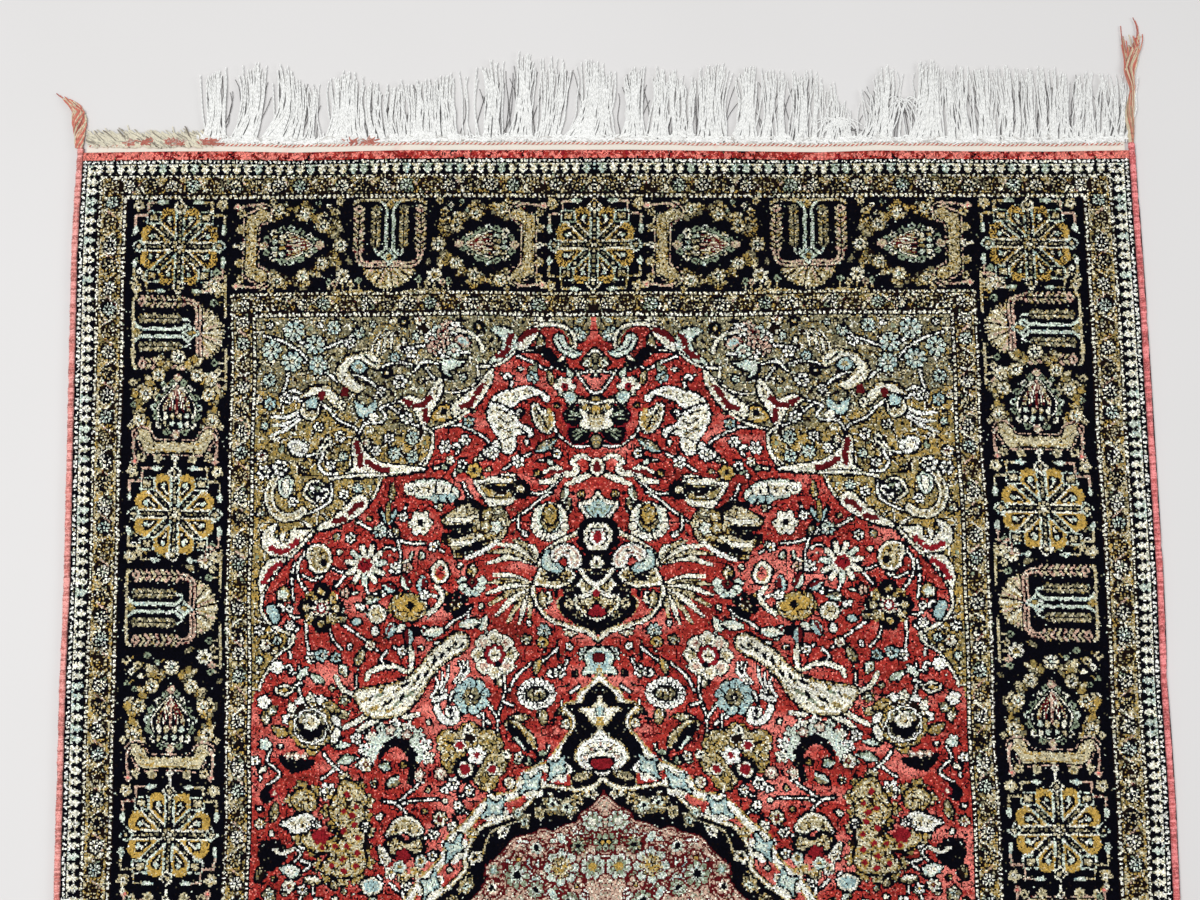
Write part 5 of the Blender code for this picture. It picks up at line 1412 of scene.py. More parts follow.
def rug_place(u, v):
    """Chart place in knots to metres on the rug, with the small wander that weaving leaves in it."""
    x = np.clip(u * KNOT[0] - HALF_WIDTH, -HALF_WIDTH, HALF_WIDTH)
    y = np.clip(v * KNOT[1] - HALF_LENGTH, -HALF_LENGTH, HALF_LENGTH)
    calm = (1 - (x / HALF_WIDTH) ** 8) * (1 - (y / HALF_LENGTH) ** 8)
    x_drawn = x + calm * (1.0 * np.sin(y / 61.0 + x / 210.0) + 0.7 * np.sin(y / 23.0 + 1.3))
    y_drawn = y + calm * (1.1 * np.sin(x / 74.0 + y / 190.0 + 0.6) + 0.6 * np.sin(x / 27.0))
    y_metres = y_drawn * MM
    left, right = body_edges(y_metres)
    middle = column(AXIS_TABLE, np.abs(y), 1) * MM
    share = x_drawn / HALF_WIDTH
    out_x = middle + share * np.where(share < 0, middle - left, right - middle)
    out_y = y_metres + np.sign(y) * (np.abs(y) / HALF_LENGTH) ** 8 * end_shift(out_x)
    return out_x + SHIFT, out_y


# ---------------------------------------------------------------- colours and sizes a user may change
def tint(code):
    """A web colour as linear red, green and blue."""
    parts = [int(code[i:i + 2], 16) / 255 for i in (0, 2, 4)]
    return tuple(p / 12.92 if p <= 0.04045 else ((p + 0.055) / 1.055) ** 2.4 for p in parts)


def toned(colour, share, lift=0.0):
    """A deeper or paler tone of a colour."""
    return tuple(min(1.0, c * share + lift) for c in colour)


def dye(name, about, code):
    """A colour property."""
    return bpy.props.FloatVectorProperty(name=name, description=about, default=tint(code), size=3, min=0.0,
        max=1.0, subtype="COLOR")


class RugDyes(bpy.types.PropertyGroup):
    """The dyes of the pile, in the order of the chart's colours."""

    navy: dye("Navy", "Outlines and the main border's ground", "05050d")
    ivory: dye("Ivory", "Blossoms and ribbons", "f0edd8")
    beige: dye("Beige", "Guard bands and brackets", "c8bd98")
    red: dye("Red", "Ground of the field", "a2332b")
    crimson: dye("Crimson", "Hearts of blossoms", "861c24")
    maroon: dye("Maroon", "Veins and dotted lines", "5a1418")
    ochre: dye("Ochre", "Petals of the rosettes", "bd9a4c")
    olive: dye("Olive", "Ground of the corners", "897b4a")
    moss: dye("Moss", "Ground of the corners near the ends", "787358")
    turquoise: dye("Turquoise", "Birds and flames", "9fbcbb")
    mint: dye("Mint", "Stems and leaves", "d2ddcc")
    salmon: dye("Salmon", "Lighter streaks of the field", "e48073")
    brown: dye("Brown", "Thin outlines", "170d0b")
    sage: dye("Sage", "Leaves", "8b997f")
    rose: dye("Rose", "Heart of the medallion and tendrils", "c9a893")
    white: dye("White", "Stems and animals", "fafaf3")


class RugYarns(bpy.types.PropertyGroup):
    """Colours of the cords, the flat weave and the fringe."""

    overcast: dye("Side cords", "Yarn wound over the sides", "e0847a")
    kilim: dye("Flat weave", "Cotton weft of the flat ends", "e9e3d6")
    twine: dye("Stitch line", "Red strand of the twined line", "dc6f58")
    fringe: dye("Fringe", "Undyed cotton of the warps", "fbfbf7")
    tassel: dye("Tassels", "Coral yarn in the corner tassels", "dd8370")


class RugSizes(bpy.types.PropertyGroup):
    """Sizes of yarns and knots."""

    knot_wander: bpy.props.FloatProperty(name="Knot wander",
        description="How ragged the knotted outlines are", default=0.6, min=0.0, max=1.9, subtype="FACTOR")
    strand: bpy.props.FloatProperty(name="Fringe strand", description="Thickness of a fringe strand",
        default=0.0016, min=0.0005, max=0.003, unit="LENGTH", subtype="DISTANCE")
    wrap: bpy.props.FloatProperty(name="Wrap pitch",
        description="Distance between two wraps of the side cords", default=0.0022, min=0.001, max=0.006,
        unit="LENGTH", subtype="DISTANCE")
    strands: bpy.props.IntProperty(name="Fringe strands", description="Strands in each fringe",
        default=1300, min=60, max=1500)


DYE_NAMES = ("navy", "ivory", "beige", "red", "crimson", "maroon", "ochre", "olive", "moss", "turquoise",
    "mint", "salmon", "brown", "sage", "rose", "white")
YARN_SIDES = 4                # faces round a yarn
KNOTS_PER_QUAD = 4
RING = 6                      # knots read along each side of a quad: its own four and one around them


# ---------------------------------------------------------------- material helpers
class Recipe:
    """Short ways to add and join the nodes of one material."""

    def __init__(self, name, roughness=0.85, sheen=0.0, specular=0.2):
        self.material = bpy.data.materials.new(name)
        self.material.use_nodes = True
        self.tree = self.material.node_tree
        self.shader = self.tree.nodes["Principled BSDF"]
        self.shader.inputs["Roughness"].default_value = roughness
        self.shader.inputs["Specular IOR Level"].default_value = specular
        self.shader.inputs["Sheen Weight"].default_value = sheen
        self.shader.inputs["Sheen Roughness"].default_value = 0.5

    def node(self, kind, **settings):
        made = self.tree.nodes.new("ShaderNode" + kind)
        for key, value in settings.items():
            setattr(made, key, value)
        return made

    def feed(self, socket, value):
        if isinstance(value, bpy.types.NodeSocket):
            self.tree.links.new(value, socket)
        elif value is not None:
            socket.default_value = value

    def fed(self, kind, *values, **settings):
        """The output of a node whose first sockets take these values."""
        made = self.node(kind, **settings)
        for socket, value in zip(made.inputs, values):
            self.feed(socket, value)
        return made.outputs[0]

    def math(self, operation, *values):
        return self.fed("Math", *values, operation=operation)

    def times(self, a, b):
        return self.math("MULTIPLY", a, b)

    def plus(self, a, b):
        return self.math("ADD", a, b)

    def is_near(self, a, b):
        return self.math("COMPARE", a, b, 0.5)

    def vector(self, x, y):
        return self.fed("CombineXYZ", x, y, 0.0)

    def attribute(self, name):
        return self.node("Attribute", attribute_name=name).outputs["Fac"]

    def split(self, vector):
        """X and y of a vector."""
        parts = self.node("SeparateXYZ")
        self.feed(parts.inputs[0], vector)
        return parts.outputs[0], parts.outputs[1]

    def uv(self, name):
        return self.split(self.node("UVMap", uv_map=name).outputs[0])

    def position(self):
        return self.node("TexCoord").outputs["Object"]

    def noise(self, vector, scale, detail=2.0, rough=0.5, colour=False, flat=False):
        made = self.node("TexNoise", noise_dimensions="2D" if flat else "3D")
        self.feed(made.inputs["Vector"], vector)
        made.inputs["Scale"].default_value = scale
        made.inputs["Detail"].default_value = detail
        made.inputs["Roughness"].default_value = rough
        return made.outputs["Color" if colour else "Fac"]

    def speckle(self, vector):
        made = self.node("TexWhiteNoise", noise_dimensions="2D")
        self.feed(made.inputs["Vector"], vector)
        return made.outputs["Value"]

    def ramp(self, factor, stops, steps=False):
        made = self.node("ValToRGB")
        band = made.color_ramp
        band.interpolation = "CONSTANT" if steps else "LINEAR"
        while len(band.elements) < len(stops):
            band.elements.new(1.0)
        for element, (place, value) in zip(band.elements, stops):
            element.position = place
        for element, (place, value) in zip(band.elements, stops):
            element.color = (*value, 1.0) if len(value) == 3 else value
        self.feed(made.inputs[0], factor)
        return made.outputs[0]

    def mix(self, factor, a, b, blend="MIX"):
        made = self.node("Mix", data_type="RGBA", blend_type=blend)
        self.feed(made.inputs[0], factor)
        self.feed(made.inputs[6], (*a, 1.0) if isinstance(a, tuple) else a)
        self.feed(made.inputs[7], (*b, 1.0) if isinstance(b, tuple) else b)
        return made.outputs[2]

    def shade(self, colour, amount):
        """A colour times a number that is a socket."""
        made = self.node("VectorMath", operation="SCALE")
        self.feed(made.inputs[0], colour)
        self.feed(made.inputs["Scale"], amount)
        return made.outputs[0]

    def range(self, value, low, high, new_low, new_high):
        return self.fed("MapRange", value, low, high, new_low, new_high)

    def bump(self, height, distance, strength=1.0):
        made = self.node("Bump")
        made.inputs["Strength"].default_value = strength
        made.inputs["Distance"].default_value = distance
        self.feed(made.inputs["Height"], height)
        self.feed(self.shader.inputs["Normal"], made.outputs[0])

    def colour(self, value):
        self.feed(self.shader.inputs["Base Color"], value)
        return self.material


def knotted_pile(name, fine, sheen):
    """Wool knots in the chart's colours. Each face carries the knots around it in six packed rows."""
    dyes = bpy.context.scene.rug_dyes
    r = Recipe(name, roughness=0.95, sheen=sheen, specular=0.05)
    u, v = r.uv("knots")
    place = r.vector(u, v)
    wander = bpy.context.scene.rug_sizes.knot_wander * fine
    stir = r.node("SeparateColor")
    r.feed(stir.inputs[0], r.noise(place, 0.62, 1.0, colour=True, flat=True))
    inside, cells = [], []
    for coordinate, channel in ((u, 0), (v, 1)):
        push = r.times(r.math("SUBTRACT", stir.outputs[channel], 0.5), wander * 2)
        push = r.math("MAXIMUM", r.math("MINIMUM", push, 0.99), -0.99)
        local = r.times(r.math("FRACT", r.math("DIVIDE", coordinate, KNOTS_PER_QUAD)), KNOTS_PER_QUAD)
        cells.append(r.plus(r.math("FLOOR", r.plus(local, push)), 1.0))
        inside.append(r.plus(coordinate, push))
    row_value = share = 0.0
    for k in range(RING):
        here = r.is_near(cells[1], float(k))
        row_value = r.math("MULTIPLY_ADD", here, r.attribute(f"row_{k}"), row_value)
        there = r.is_near(cells[0], float(k))
        share = r.math("MULTIPLY_ADD", there, 16.0 ** -k, share)
    code = r.math("MODULO", r.math("FLOOR", r.times(row_value, share)), 16.0)
    stops = [(k / 16, tuple(getattr(dyes, dye_name))) for k, dye_name in enumerate(DYE_NAMES)]
    colour = r.ramp(r.math("DIVIDE", r.plus(code, 0.5), 16.0), stops, steps=True)
    # the red ground runs from crimson to salmon in soft clouds and short bands
    red = r.is_near(code, float(RED))
    cloud = r.noise(r.vector(r.times(u, 0.55), v), 0.028, 3.0, 0.6, flat=True)
    band = r.noise(r.vector(r.times(u, 0.12), v), 0.11, 2.0, flat=True)
    depth = r.plus(r.times(cloud, 0.72), r.times(band, 0.28))
    # painted light: the grounds also grow a little paler towards the rug's middle, where the pile's sheen
    # brightens them
    inward = r.math("ABSOLUTE", r.math("SUBTRACT", v, float(QUARTER_KNOTS[1])))
    depth = r.plus(depth, r.range(inward, 60, 400, 0.06, 0.0))
    reds = r.ramp(depth, [(0.36, toned(dyes.red, 0.55)), (0.46, tuple(dyes.red)),
        (0.55, toned(dyes.red, 1.12)), (0.66, tuple(dyes.salmon))])
    colour = r.mix(red, colour, reds)
    # gold grounds drift between grey and yellow
    gold = r.is_near(code, float(OLIVE))
    colour = r.mix(r.times(gold, r.range(depth, 0.4, 0.62, 0.0, 0.75)), colour, tuple(dyes.ochre))
    # every knot takes the dye its own way, and the pile breaks it into fibres
    knot = r.vector(r.math("FLOOR", inside[0]), r.math("FLOOR", inside[1]))
    tone = r.range(r.speckle(knot), 0.0, 1.0, 0.5, 1.5)
    fibre = r.noise(r.vector(r.times(u, 2.6), r.times(v, 1.5)), 1.0, 2.0, 0.7, flat=True)
    tone = r.times(tone, r.range(fibre, 0.3, 0.7, 0.5, 1.42))
    bands = r.noise(r.vector(r.times(u, 0.02), v), 0.06, 2.0, flat=True)
    tone = r.times(tone, r.range(bands, 0.3, 0.7, 0.88, 1.1))
    colour = r.shade(colour, tone)
    tuft = []
    for value in inside:
        off = r.math("SUBTRACT", r.math("FRACT", value), 0.5)
        tuft.append(r.times(off, off))
    dome = r.math("SUBTRACT", 0.5, r.plus(tuft[0], tuft[1]))
    height = r.plus(r.times(dome, 0.9), fibre)
    r.bump(height, 0.0012 * fine, 0.7)
    return r.colour(colour)


# ---------------------------------------------------------------- piece helpers
def start_clean():
    """Nothing selected, no piece in edit mode."""
    if bpy.context.mode != "OBJECT":
        bpy.ops.object.mode_set(mode="OBJECT")
    bpy.ops.object.select_all(action="DESELECT")


def pick(piece):
    """Select one piece alone and make it active."""
    start_clean()
    piece.select_set(True)
    bpy.context.view_layer.objects.active = piece


def grid_piece(name, columns, rows, place):
    """A grid of quads laid out by code. place gets each vertex's column and row number."""
    start_clean()
    bpy.ops.mesh.primitive_grid_add(x_subdivisions=columns, y_subdivisions=rows, size=1.0,
        location=(0, 0, 0))
    piece = bpy.context.active_object
    piece.name = piece.data.name = name
    mesh = piece.data
    flat = np.empty(len(mesh.vertices) * 3)
    mesh.vertices.foreach_get("co", flat)
    flat = flat.reshape(-1, 3)
    i = np.rint((flat[:, 0] + 0.5) * columns).astype(int)
    j = np.rint((flat[:, 1] + 0.5) * rows).astype(int)
    mesh.vertices.foreach_set("co", np.column_stack(place(i, j)).ravel())
    mesh.update()
    return piece, i, j


def edit(*steps):
    """Run edit-mode steps on the active piece, all of it selected."""
    bpy.ops.object.mode_set(mode="EDIT")
    bpy.ops.mesh.select_all(action="SELECT")
    for step in steps:
        step()
    bpy.ops.object.mode_set(mode="OBJECT")


def point_outwards():
    """Turn the faces of a closed mesh in edit mode outwards."""
    bpy.ops.mesh.select_all(action="SELECT")
    bpy.ops.mesh.normals_make_consistent(inside=False)


def finish_piece(piece, material, nodes, smooth_angle):
    """Give a piece its material, its smoothing and its place in the frame."""
    piece.data.materials.clear()
    piece.data.materials.append(material)
    pick(piece)
    bpy.ops.object.shade_smooth_by_angle(angle=math.radians(smooth_angle))
    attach(piece, "root")
    for node in nodes:
        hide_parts(node)
    return piece


def strands_piece(name, paths, radius, tones):
    """Many yarns as one mesh. Each path is a list of x, y, z and a share of the radius."""
    curve = bpy.data.curves.new(name, "CURVE")
    curve.dimensions = "3D"
    curve.bevel_depth = radius
    curve.bevel_resolution = 0
    for path in paths:
        spline = curve.splines.new("POLY")
        spline.points.add(len(path) - 1)
        spline.points.foreach_set("co", np.column_stack([path[:, :3], np.ones(len(path))]).ravel())
        spline.points.foreach_set("radius", path[:, 3].copy())
    piece = bpy.data.objects.new(name, curve)
    bpy.context.collection.objects.link(piece)
    pick(piece)
    bpy.ops.object.convert(target="MESH")
    piece = bpy.context.active_object
    piece.name = piece.data.name = name
    mesh = piece.data
    counts = np.array([len(path) * YARN_SIDES for path in paths])
    if counts.sum() != len(mesh.vertices):
        raise RuntimeError(f"{name}: {len(mesh.vertices)} vertices, but {counts.sum()} were expected")
    strand = np.repeat(np.arange(len(paths)), counts)
    along = np.concatenate([np.repeat(np.linspace(0, 1, len(path)), YARN_SIDES) for path in paths])
    turn = np.concatenate([np.tile(np.arange(YARN_SIDES) / YARN_SIDES, len(path)) for path in paths])
    for key, values in (("tone", np.asarray(tones, float)[strand]), ("along", along), ("turn", turn)):
        layer = mesh.attributes.new(key, "FLOAT", "POINT")
        layer.data.foreach_set("value", values.astype(np.float32))
    edit(lambda: bpy.ops.mesh.fill_holes(sides=YARN_SIDES), point_outwards)
    return piece


# ---------------------------------------------------------------- the pile and the back
def whole_chart():
    """Both halves and both ends of the chart, with a margin of repeated knots around it."""
    chart = Chart()
    draw_chart(chart)
    half = np.hstack([chart.code, chart.code[:, ::-1]])
    return np.pad(np.vstack([half[::-1], half]), 2 * KNOTS_PER_QUAD, mode="edge")


def chart_lines(knots):
    """Grid lines across the chart in knots: a skirt, a shoulder and then every fourth knot."""
    inner = list(range(KNOTS_PER_QUAD, knots, KNOTS_PER_QUAD))
    return np.array([-3.0, 0.0, 1.1] + inner + [knots - 1.1, knots, knots + 3.0])


def knotted_sheet(name, codes, height):
    """One face of the knotted body. height gets the distance to the nearest edge in knots."""
    across, along = 2 * QUARTER_KNOTS[0], 2 * QUARTER_KNOTS[1]
    u_lines, v_lines = chart_lines(across), chart_lines(along)

    def place(i, j):
        u, v = u_lines[i], v_lines[j]
        x, y = rug_place(u, v)
        inset = np.minimum(np.minimum(u, across - u), np.minimum(v, along - v))
        return x, y, height(inset, x, y)

    piece, i, j = grid_piece(name, len(u_lines) - 1, len(v_lines) - 1, place)
    mesh = piece.data
    while mesh.uv_layers:
        mesh.uv_layers.remove(mesh.uv_layers[0])
    corners = np.empty(len(mesh.loops), np.int32)
    mesh.loops.foreach_get("vertex_index", corners)
    uv = np.column_stack([u_lines[i], v_lines[j]])[corners]
    layer = mesh.uv_layers.new(name="knots")
    layer.uv.foreach_set("vector", uv.astype(np.float32).ravel())
    middle = uv.reshape(-1, 4, 2).mean(1)
    block = np.floor(middle / KNOTS_PER_QUAD).astype(int) * KNOTS_PER_QUAD + 2 * KNOTS_PER_QUAD - 1
    for row in range(RING):
        packed = np.zeros(len(block))
        for k in range(RING):
            packed += codes[block[:, 1] + row, block[:, 0] + k] * 16.0 ** k
        data = mesh.attributes.new(f"row_{row}", "FLOAT", "FACE")
        data.data.foreach_set("value", packed.astype(np.float32))
    return piece


def pile_height(inset, x, y):
    """Rounded at the shoulder, and a little uneven where the rug has been walked on."""
    top = PILE_THICKNESS / MM + 0.12 * np.sin(x * 31 + 1.0) * np.sin(y * 23) - 0.12
    rise = np.interp(inset, (-3.0, -1.0, 0.0, 1.1, 4.0), (0.12, 0.5, 0.74, 0.93, 1.0))
    return top * rise * MM


def back_height(inset, x, y):
    """Flat on the floor, with its edge turned up into the pile."""
    return np.where(inset < 0, 0.0009, 0.0002)


def make_pile(codes):
    piece = knotted_sheet("rug_pile", codes, pile_height)
    return finish_piece(piece, knotted_pile("knotted_wool", 1.0, 0.0), ("rug_body",), 60.0)


def make_back(codes):
    piece = knotted_sheet("rug_back", codes, back_height)
    pick(piece)
    edit(bpy.ops.mesh.flip_normals)
    return finish_piece(piece, knotted_pile("woven_back", 0.5, 0.05), (), 60.0)


# ---------------------------------------------------------------- flat weave, cords, stitch line
def end_name(sign):
    return "top" if sign > 0 else "bottom"


def side_name(side):
    return "left" if side < 0 else "right"


def flat_weave():
    """Cotton wefts over warps, tinged with coral in patches."""
    yarns = bpy.context.scene.rug_yarns
    r = Recipe("flat_weave_cotton", roughness=0.9, sheen=0.1, specular=0.15)
    x, y = r.split(r.position())
    warp = r.math("SINE", r.times(x, 2 * math.pi / 0.0018))
    weft = r.math("SINE", r.times(y, 2 * math.pi / 0.0011))
    over = r.times(warp, weft)
    patch = r.noise(r.position(), 60.0, 3.0)
    base = tuple(yarns.kilim)
    # painted shade: the weave is a little darker where the yarns dip under each other
    colour = r.mix(r.range(over, -1, 1, 0.0, 1.0), toned(base, 0.95), base)
    colour = r.mix(r.range(patch, 0.62, 0.78, 0.0, 0.3), colour, tuple(yarns.overcast))
    r.bump(r.plus(over, r.noise(r.position(), 900.0, 2.0)), 0.0005, 0.35)
    return r.colour(colour)


def make_kilim(sign, material):
    """The flat-woven end between the pile and the fringe."""
    columns, rows = 350, 6

    def place(i, j):
        share = i / columns
        x = KILIM_LEFT + (KILIM_RIGHT - KILIM_LEFT) * share
        depth = j / rows
        y = PILE_HALF_LENGTH - KILIM_LAP + (KILIM_LENGTH + KILIM_LAP) * depth
        z = KILIM_THICKNESS * (0.93 - 0.14 * depth ** 3) + 0.00007 * np.sin(i * 1.7) * np.cos(j * 2.2)
        return x + SHIFT, sign * (y + end_shift(x)), z

    piece, _, _ = grid_piece(f"kilim_{end_name(sign)}", columns, rows, place)
    solid = piece.modifiers.new("weight", "SOLIDIFY")
    solid.thickness = KILIM_THICKNESS * 0.75
    solid.offset = -1.0 if sign > 0 else 1.0
    pick(piece)
    bpy.ops.object.modifier_apply(modifier=solid.name)
    edit(point_outwards)
    return finish_piece(piece, material, (), 50.0)


def yarn(name, base, other, share=0.5, roughness=0.85, pitch=5.0, streak=400.0, fleck_and_groove_shade=0.3, sheen=0.15):
    """Twisted yarn: its plies run round it with painted shade in their grooves, and strands differ a
    little.
    """
    r = Recipe(name, roughness=roughness, sheen=sheen, specular=0.2)
    tone = r.attribute("tone")
    along, turn = r.attribute("along"), r.attribute("turn")
    spiral = r.math("SINE", r.times(r.plus(r.times(along, pitch), turn), 2 * math.pi))
    fluff = r.noise(r.position(), streak, 3.0, 0.6)
    fleck_and_shade_tone = toned(base, 0.45)
    # a high tone takes the other colour: chosen at random for most yarns, while in the fringe it is painted
    # shade on the deeper strands
    colour = r.mix(r.range(tone, 1.0 - share, 1.0, 0.0, 1.0), base, other)
    colour = r.mix(r.range(fluff, 0.35, 0.58, fleck_and_groove_shade, 0.0), colour, fleck_and_shade_tone)
    # painted shade: each turn of the plies is darker on one side, as in the groove between them
    colour = r.mix(r.range(spiral, -1, 1, fleck_and_groove_shade, 0.0), colour, fleck_and_shade_tone)
    r.bump(r.plus(r.times(spiral, 0.5), fluff), 0.0006, 0.8)
    return r.colour(colour)


def overcast_yarn(name, base):
    """Fluffy wool wound round the side, with paler and deeper turns and painted shade in the grooves
    between them.
    """
    r = Recipe(name, roughness=0.9, sheen=0.3, specular=0.1)
    wrap = r.attribute("wrap")
    groove = r.math("ABSOLUTE", r.math("SINE", r.times(wrap, math.pi)))
    each = r.speckle(r.vector(r.math("FLOOR", wrap), 1.0))
    fluff = r.noise(r.position(), 700.0, 3.0, 0.6)
    drift = r.noise(r.position(), 60.0, 3.0)
    colour = r.ramp(r.plus(r.times(each, 0.5), r.times(drift, 0.6)), [(0.36, toned(base, 0.6)),
        (0.52, base), (0.7, tuple(min(1.0, c * 1.3 + 0.14) for c in base))])
    # painted shade in the groove between one wrap and the next
    colour = r.mix(r.range(groove, 0.0, 0.5, 0.3, 0.0), colour, toned(base, 0.35))
    colour = r.mix(r.range(fluff, 0.34, 0.5, 0.7, 0.0), colour, toned(base, 0.4))
    colour = r.mix(r.range(fluff, 0.5, 0.64, 0.0, 0.7), colour, tuple(min(1.0, c * 1.25 + 0.2)
        for c in base))
    r.bump(r.plus(groove, fluff), 0.0005, 0.9)
    return r.colour(colour)


def make_selvedge(side, material):
    """A flattened cord with a yarn wound round it from end to end."""
    around = 14
    reach = PILE_HALF_LENGTH + SELVEDGE_OVERHANG
    rows = int(2 * reach / SELVEDGE_ROW)
    wrap_pitch = bpy.context.scene.rug_sizes.wrap
    rng = np.random.default_rng(5 if side < 0 else 6)
    knots = np.arange(0, rows + 40, 9)
    loose = np.interp(np.arange(rows + 1), knots, rng.uniform(0.84, 1.12, len(knots)))
    fuzz = rng.uniform(0.84, 1.14, (FUZZ_ROWS, around))

    def place(i, j):
        angle = 2 * math.pi * i / around
        y = -reach + 2 * reach * j / rows
        turns = y / wrap_pitch + 0.5 * i / around
        ridge = 0.90 + 0.13 * np.abs(np.sin(math.pi * turns)) ** 0.7
        half = SELVEDGE_WIDTH / 2 * ridge * loose[j] * fuzz[j % FUZZ_ROWS, i % around]
        middle = outer_edge(y, side) - side * SELVEDGE_WIDTH / 2
        x = middle + half * np.sign(np.cos(angle)) * np.abs(np.cos(angle)) ** 0.85
        rise = SELVEDGE_THICKNESS / 2
        z = rise + rise * ridge * np.sin(angle) * np.where(np.sin(angle) < 0, 0.96, 1.0)
        return x + SHIFT, y, np.maximum(z, 0.00005)

    piece, i, j = grid_piece(f"overcast_{side_name(side)}", around, rows, place)
    y = -reach + 2 * reach * j / rows
    layer = piece.data.attributes.new("wrap", "FLOAT", "POINT")
    layer.data.foreach_set("value", (y / wrap_pitch + 0.5 * i / around).astype(np.float32))
    pick(piece)
    edit(lambda: bpy.ops.mesh.remove_doubles(threshold=1e-6), lambda: bpy.ops.mesh.fill_holes(sides=0),
         point_outwards)
    return finish_piece(piece, material, (f"selvedge_{side_name(side)}",), 70.0)


def make_stitch_line(sign, red, white):
    """Two strands twined round each other along the flat-woven end."""
    name = end_name(sign)
    steps = 1500
    t = np.linspace(0, 1, steps)
    x = KILIM_LEFT + STITCH_INSET + (KILIM_RIGHT - KILIM_LEFT - 2 * STITCH_INSET) * t
    y = PILE_HALF_LENGTH + KILIM_LENGTH - STITCH_FROM_EDGE + end_shift(x) + 0.0003 * np.sin(t * 66 * 1.9)
    z = np.full_like(x, KILIM_THICKNESS + GAP + 0.0006)
    pieces = []
    for k, (material, colour, thick) in enumerate(((red, "red", 0.0006), (white, "white", 0.00075))):
        phase = 2 * math.pi * (x / TWINE_PITCH) + math.pi * k
        path = np.column_stack([x + SHIFT, sign * (y + 0.00062 * np.sin(phase)),
            z + 0.00042 * np.cos(phase), np.ones(steps)])
        piece = strands_piece(f"stitch_{name}_{colour}", [path], thick, [0.3])
        nodes = (f"end_stitch_{name}",) if k == 0 else ()
        pieces.append(finish_piece(piece, material, nodes, 80.0))
    return pieces


# ---------------------------------------------------------------- fringe and tassels
def strand_path(x, y, z, thick, sign):
    """One yarn's stations, with its share of the full thickness."""
    return np.column_stack([np.asarray(x) + SHIFT, sign * np.asarray(y), z, thick])


def make_fringe(sign, material):
    """Warp ends that lie on the floor in leaning clumps, wavy and crossing, with gaps and a few arches."""
    sizes = bpy.context.scene.rug_sizes
    rng = np.random.default_rng(17 if sign > 0 else 23)
    paths, tones = [], []
    t = np.linspace(0, 1, 11)
    pitch = (CLUMP_TABLE[-1][1] - CLUMP_TABLE[0][0]) / sizes.strands

    def add(root, x, rise, swing=0.0):
        layer = (rng.random() + 2 * (rng.random() < 0.74)) / 3
        root_y = (PILE_HALF_LENGTH + KILIM_LENGTH + float(end_shift(root * MM))) / MM - 1.2
        z = 0.9 + 1.4 * np.exp(-t * 9) + 3.0 * layer * np.minimum(1, 4 * t) * (0.7 + 0.3 * swing)
        thick = (1 - 0.3 * t ** 2) * (rng.uniform(0.8, 1.15) if layer > 0.34 else 0.5)
        if layer < 0.34:
            x = x + rng.normal(0, 7) * t ** 1.5
            rise = rise * rng.uniform(0.6, 0.95)
        paths.append(strand_path(x * MM, (root_y + rise) * MM, z * MM, thick, sign))
        # painted shade: strands of the deepest layer take the fringe's dark tone in full, and lower strands
        # more of it with some chance, as if shaded by the strands above
        tones.append(1.0 if layer < 0.34 else 0.5 * (1 - layer) + rng.uniform(0, 0.3))

    for first, last, tip_first, tip_last, share in CLUMP_TABLE:
        bow = rng.normal(0, 1.4)
        for root in np.arange(first, last, pitch):
            if rng.random() > share:
                continue
            across = (root - first) / (last - first)
            length = float(column(FRINGE_TABLE, root, 1)) * rng.uniform(0.8, 1.04)
            length = max(length, 30.0)
            lean = tip_first + (tip_last - tip_first) * across - root + rng.normal(0, 2.4)
            if rng.random() < 0.16:
                lean += rng.normal(0, 9)
            wave, turns, phase = rng.uniform(0.3, 1.6), rng.uniform(0.6, 2.2), rng.uniform(0, 2 * math.pi)
            swing = np.sin(2 * math.pi * turns * t + phase)
            pinch = ((first + last) / 2 - root) * (0.2 if last - first < 40 else 0.06)
            x = (root + rng.uniform(-0.6, 0.6) + lean * (1 - (1 - t) ** 3)
                 + (bow + pinch) * np.sin(math.pi * t) + wave * swing * np.minimum(1, 2.5 * t))
            rise = (length + 1.2) * t + 0.6 * wave * np.cos(2 * math.pi * turns * t * 0.8 + phase)
            add(root, x, rise, swing)
    for first, last, reach, height, number in ARCH_TABLE:
        for root in rng.uniform(first, last, number):
            far, high = reach * rng.uniform(0.6, 1.3), height * rng.uniform(0.75, 1.1)
            rise = high * np.sin(math.pi * t * rng.uniform(0.7, 0.86))
            add(root, root + far * (0.3 * t + 0.7 * t ** 2), rise)
    piece = strands_piece(f"warp_fringe_{end_name(sign)}", paths, sizes.strand / 2, tones)
    return finish_piece(piece, material, (f"fringe_{end_name(sign)}",), 80.0)


def make_root_loops(sign, material):
    """Small knotted loops of the warps where they leave the flat weave."""
    rng = np.random.default_rng(41 if sign > 0 else 43)
    paths, tones = [], []
    t = np.linspace(0, 1, 7)
    for x0 in np.arange(CLUMP_TABLE[0][0], KILIM_RIGHT / MM - 4, 0.9):
        y0 = (PILE_HALF_LENGTH + KILIM_LENGTH + float(end_shift(x0 * MM))) / MM + rng.uniform(-1.2, 0.8)
        turn = rng.uniform(-0.4, 1.4)
        reach = rng.uniform(4.0, 9.5)
        x = x0 + reach * t * math.cos(turn) * rng.choice((-1, 1)) + 0.8 * np.sin(6 * t + x0)
        y = y0 + reach * t * math.sin(turn) + 1.1 * np.sin(math.pi * t)
        z = 2.9 + 0.9 * np.sin(math.pi * t) - 0.7 * np.clip((y - y0) / 4, 0, 1)
        paths.append(strand_path(x * MM, y * MM, z * MM, 1.1 - 0.2 * t, sign))
        tones.append(rng.uniform(0, 0.85) ** 1.5)
    piece = strands_piece(f"root_loops_{end_name(sign)}", paths, 0.0008, tones)
    return finish_piece(piece, material, (), 80.0)


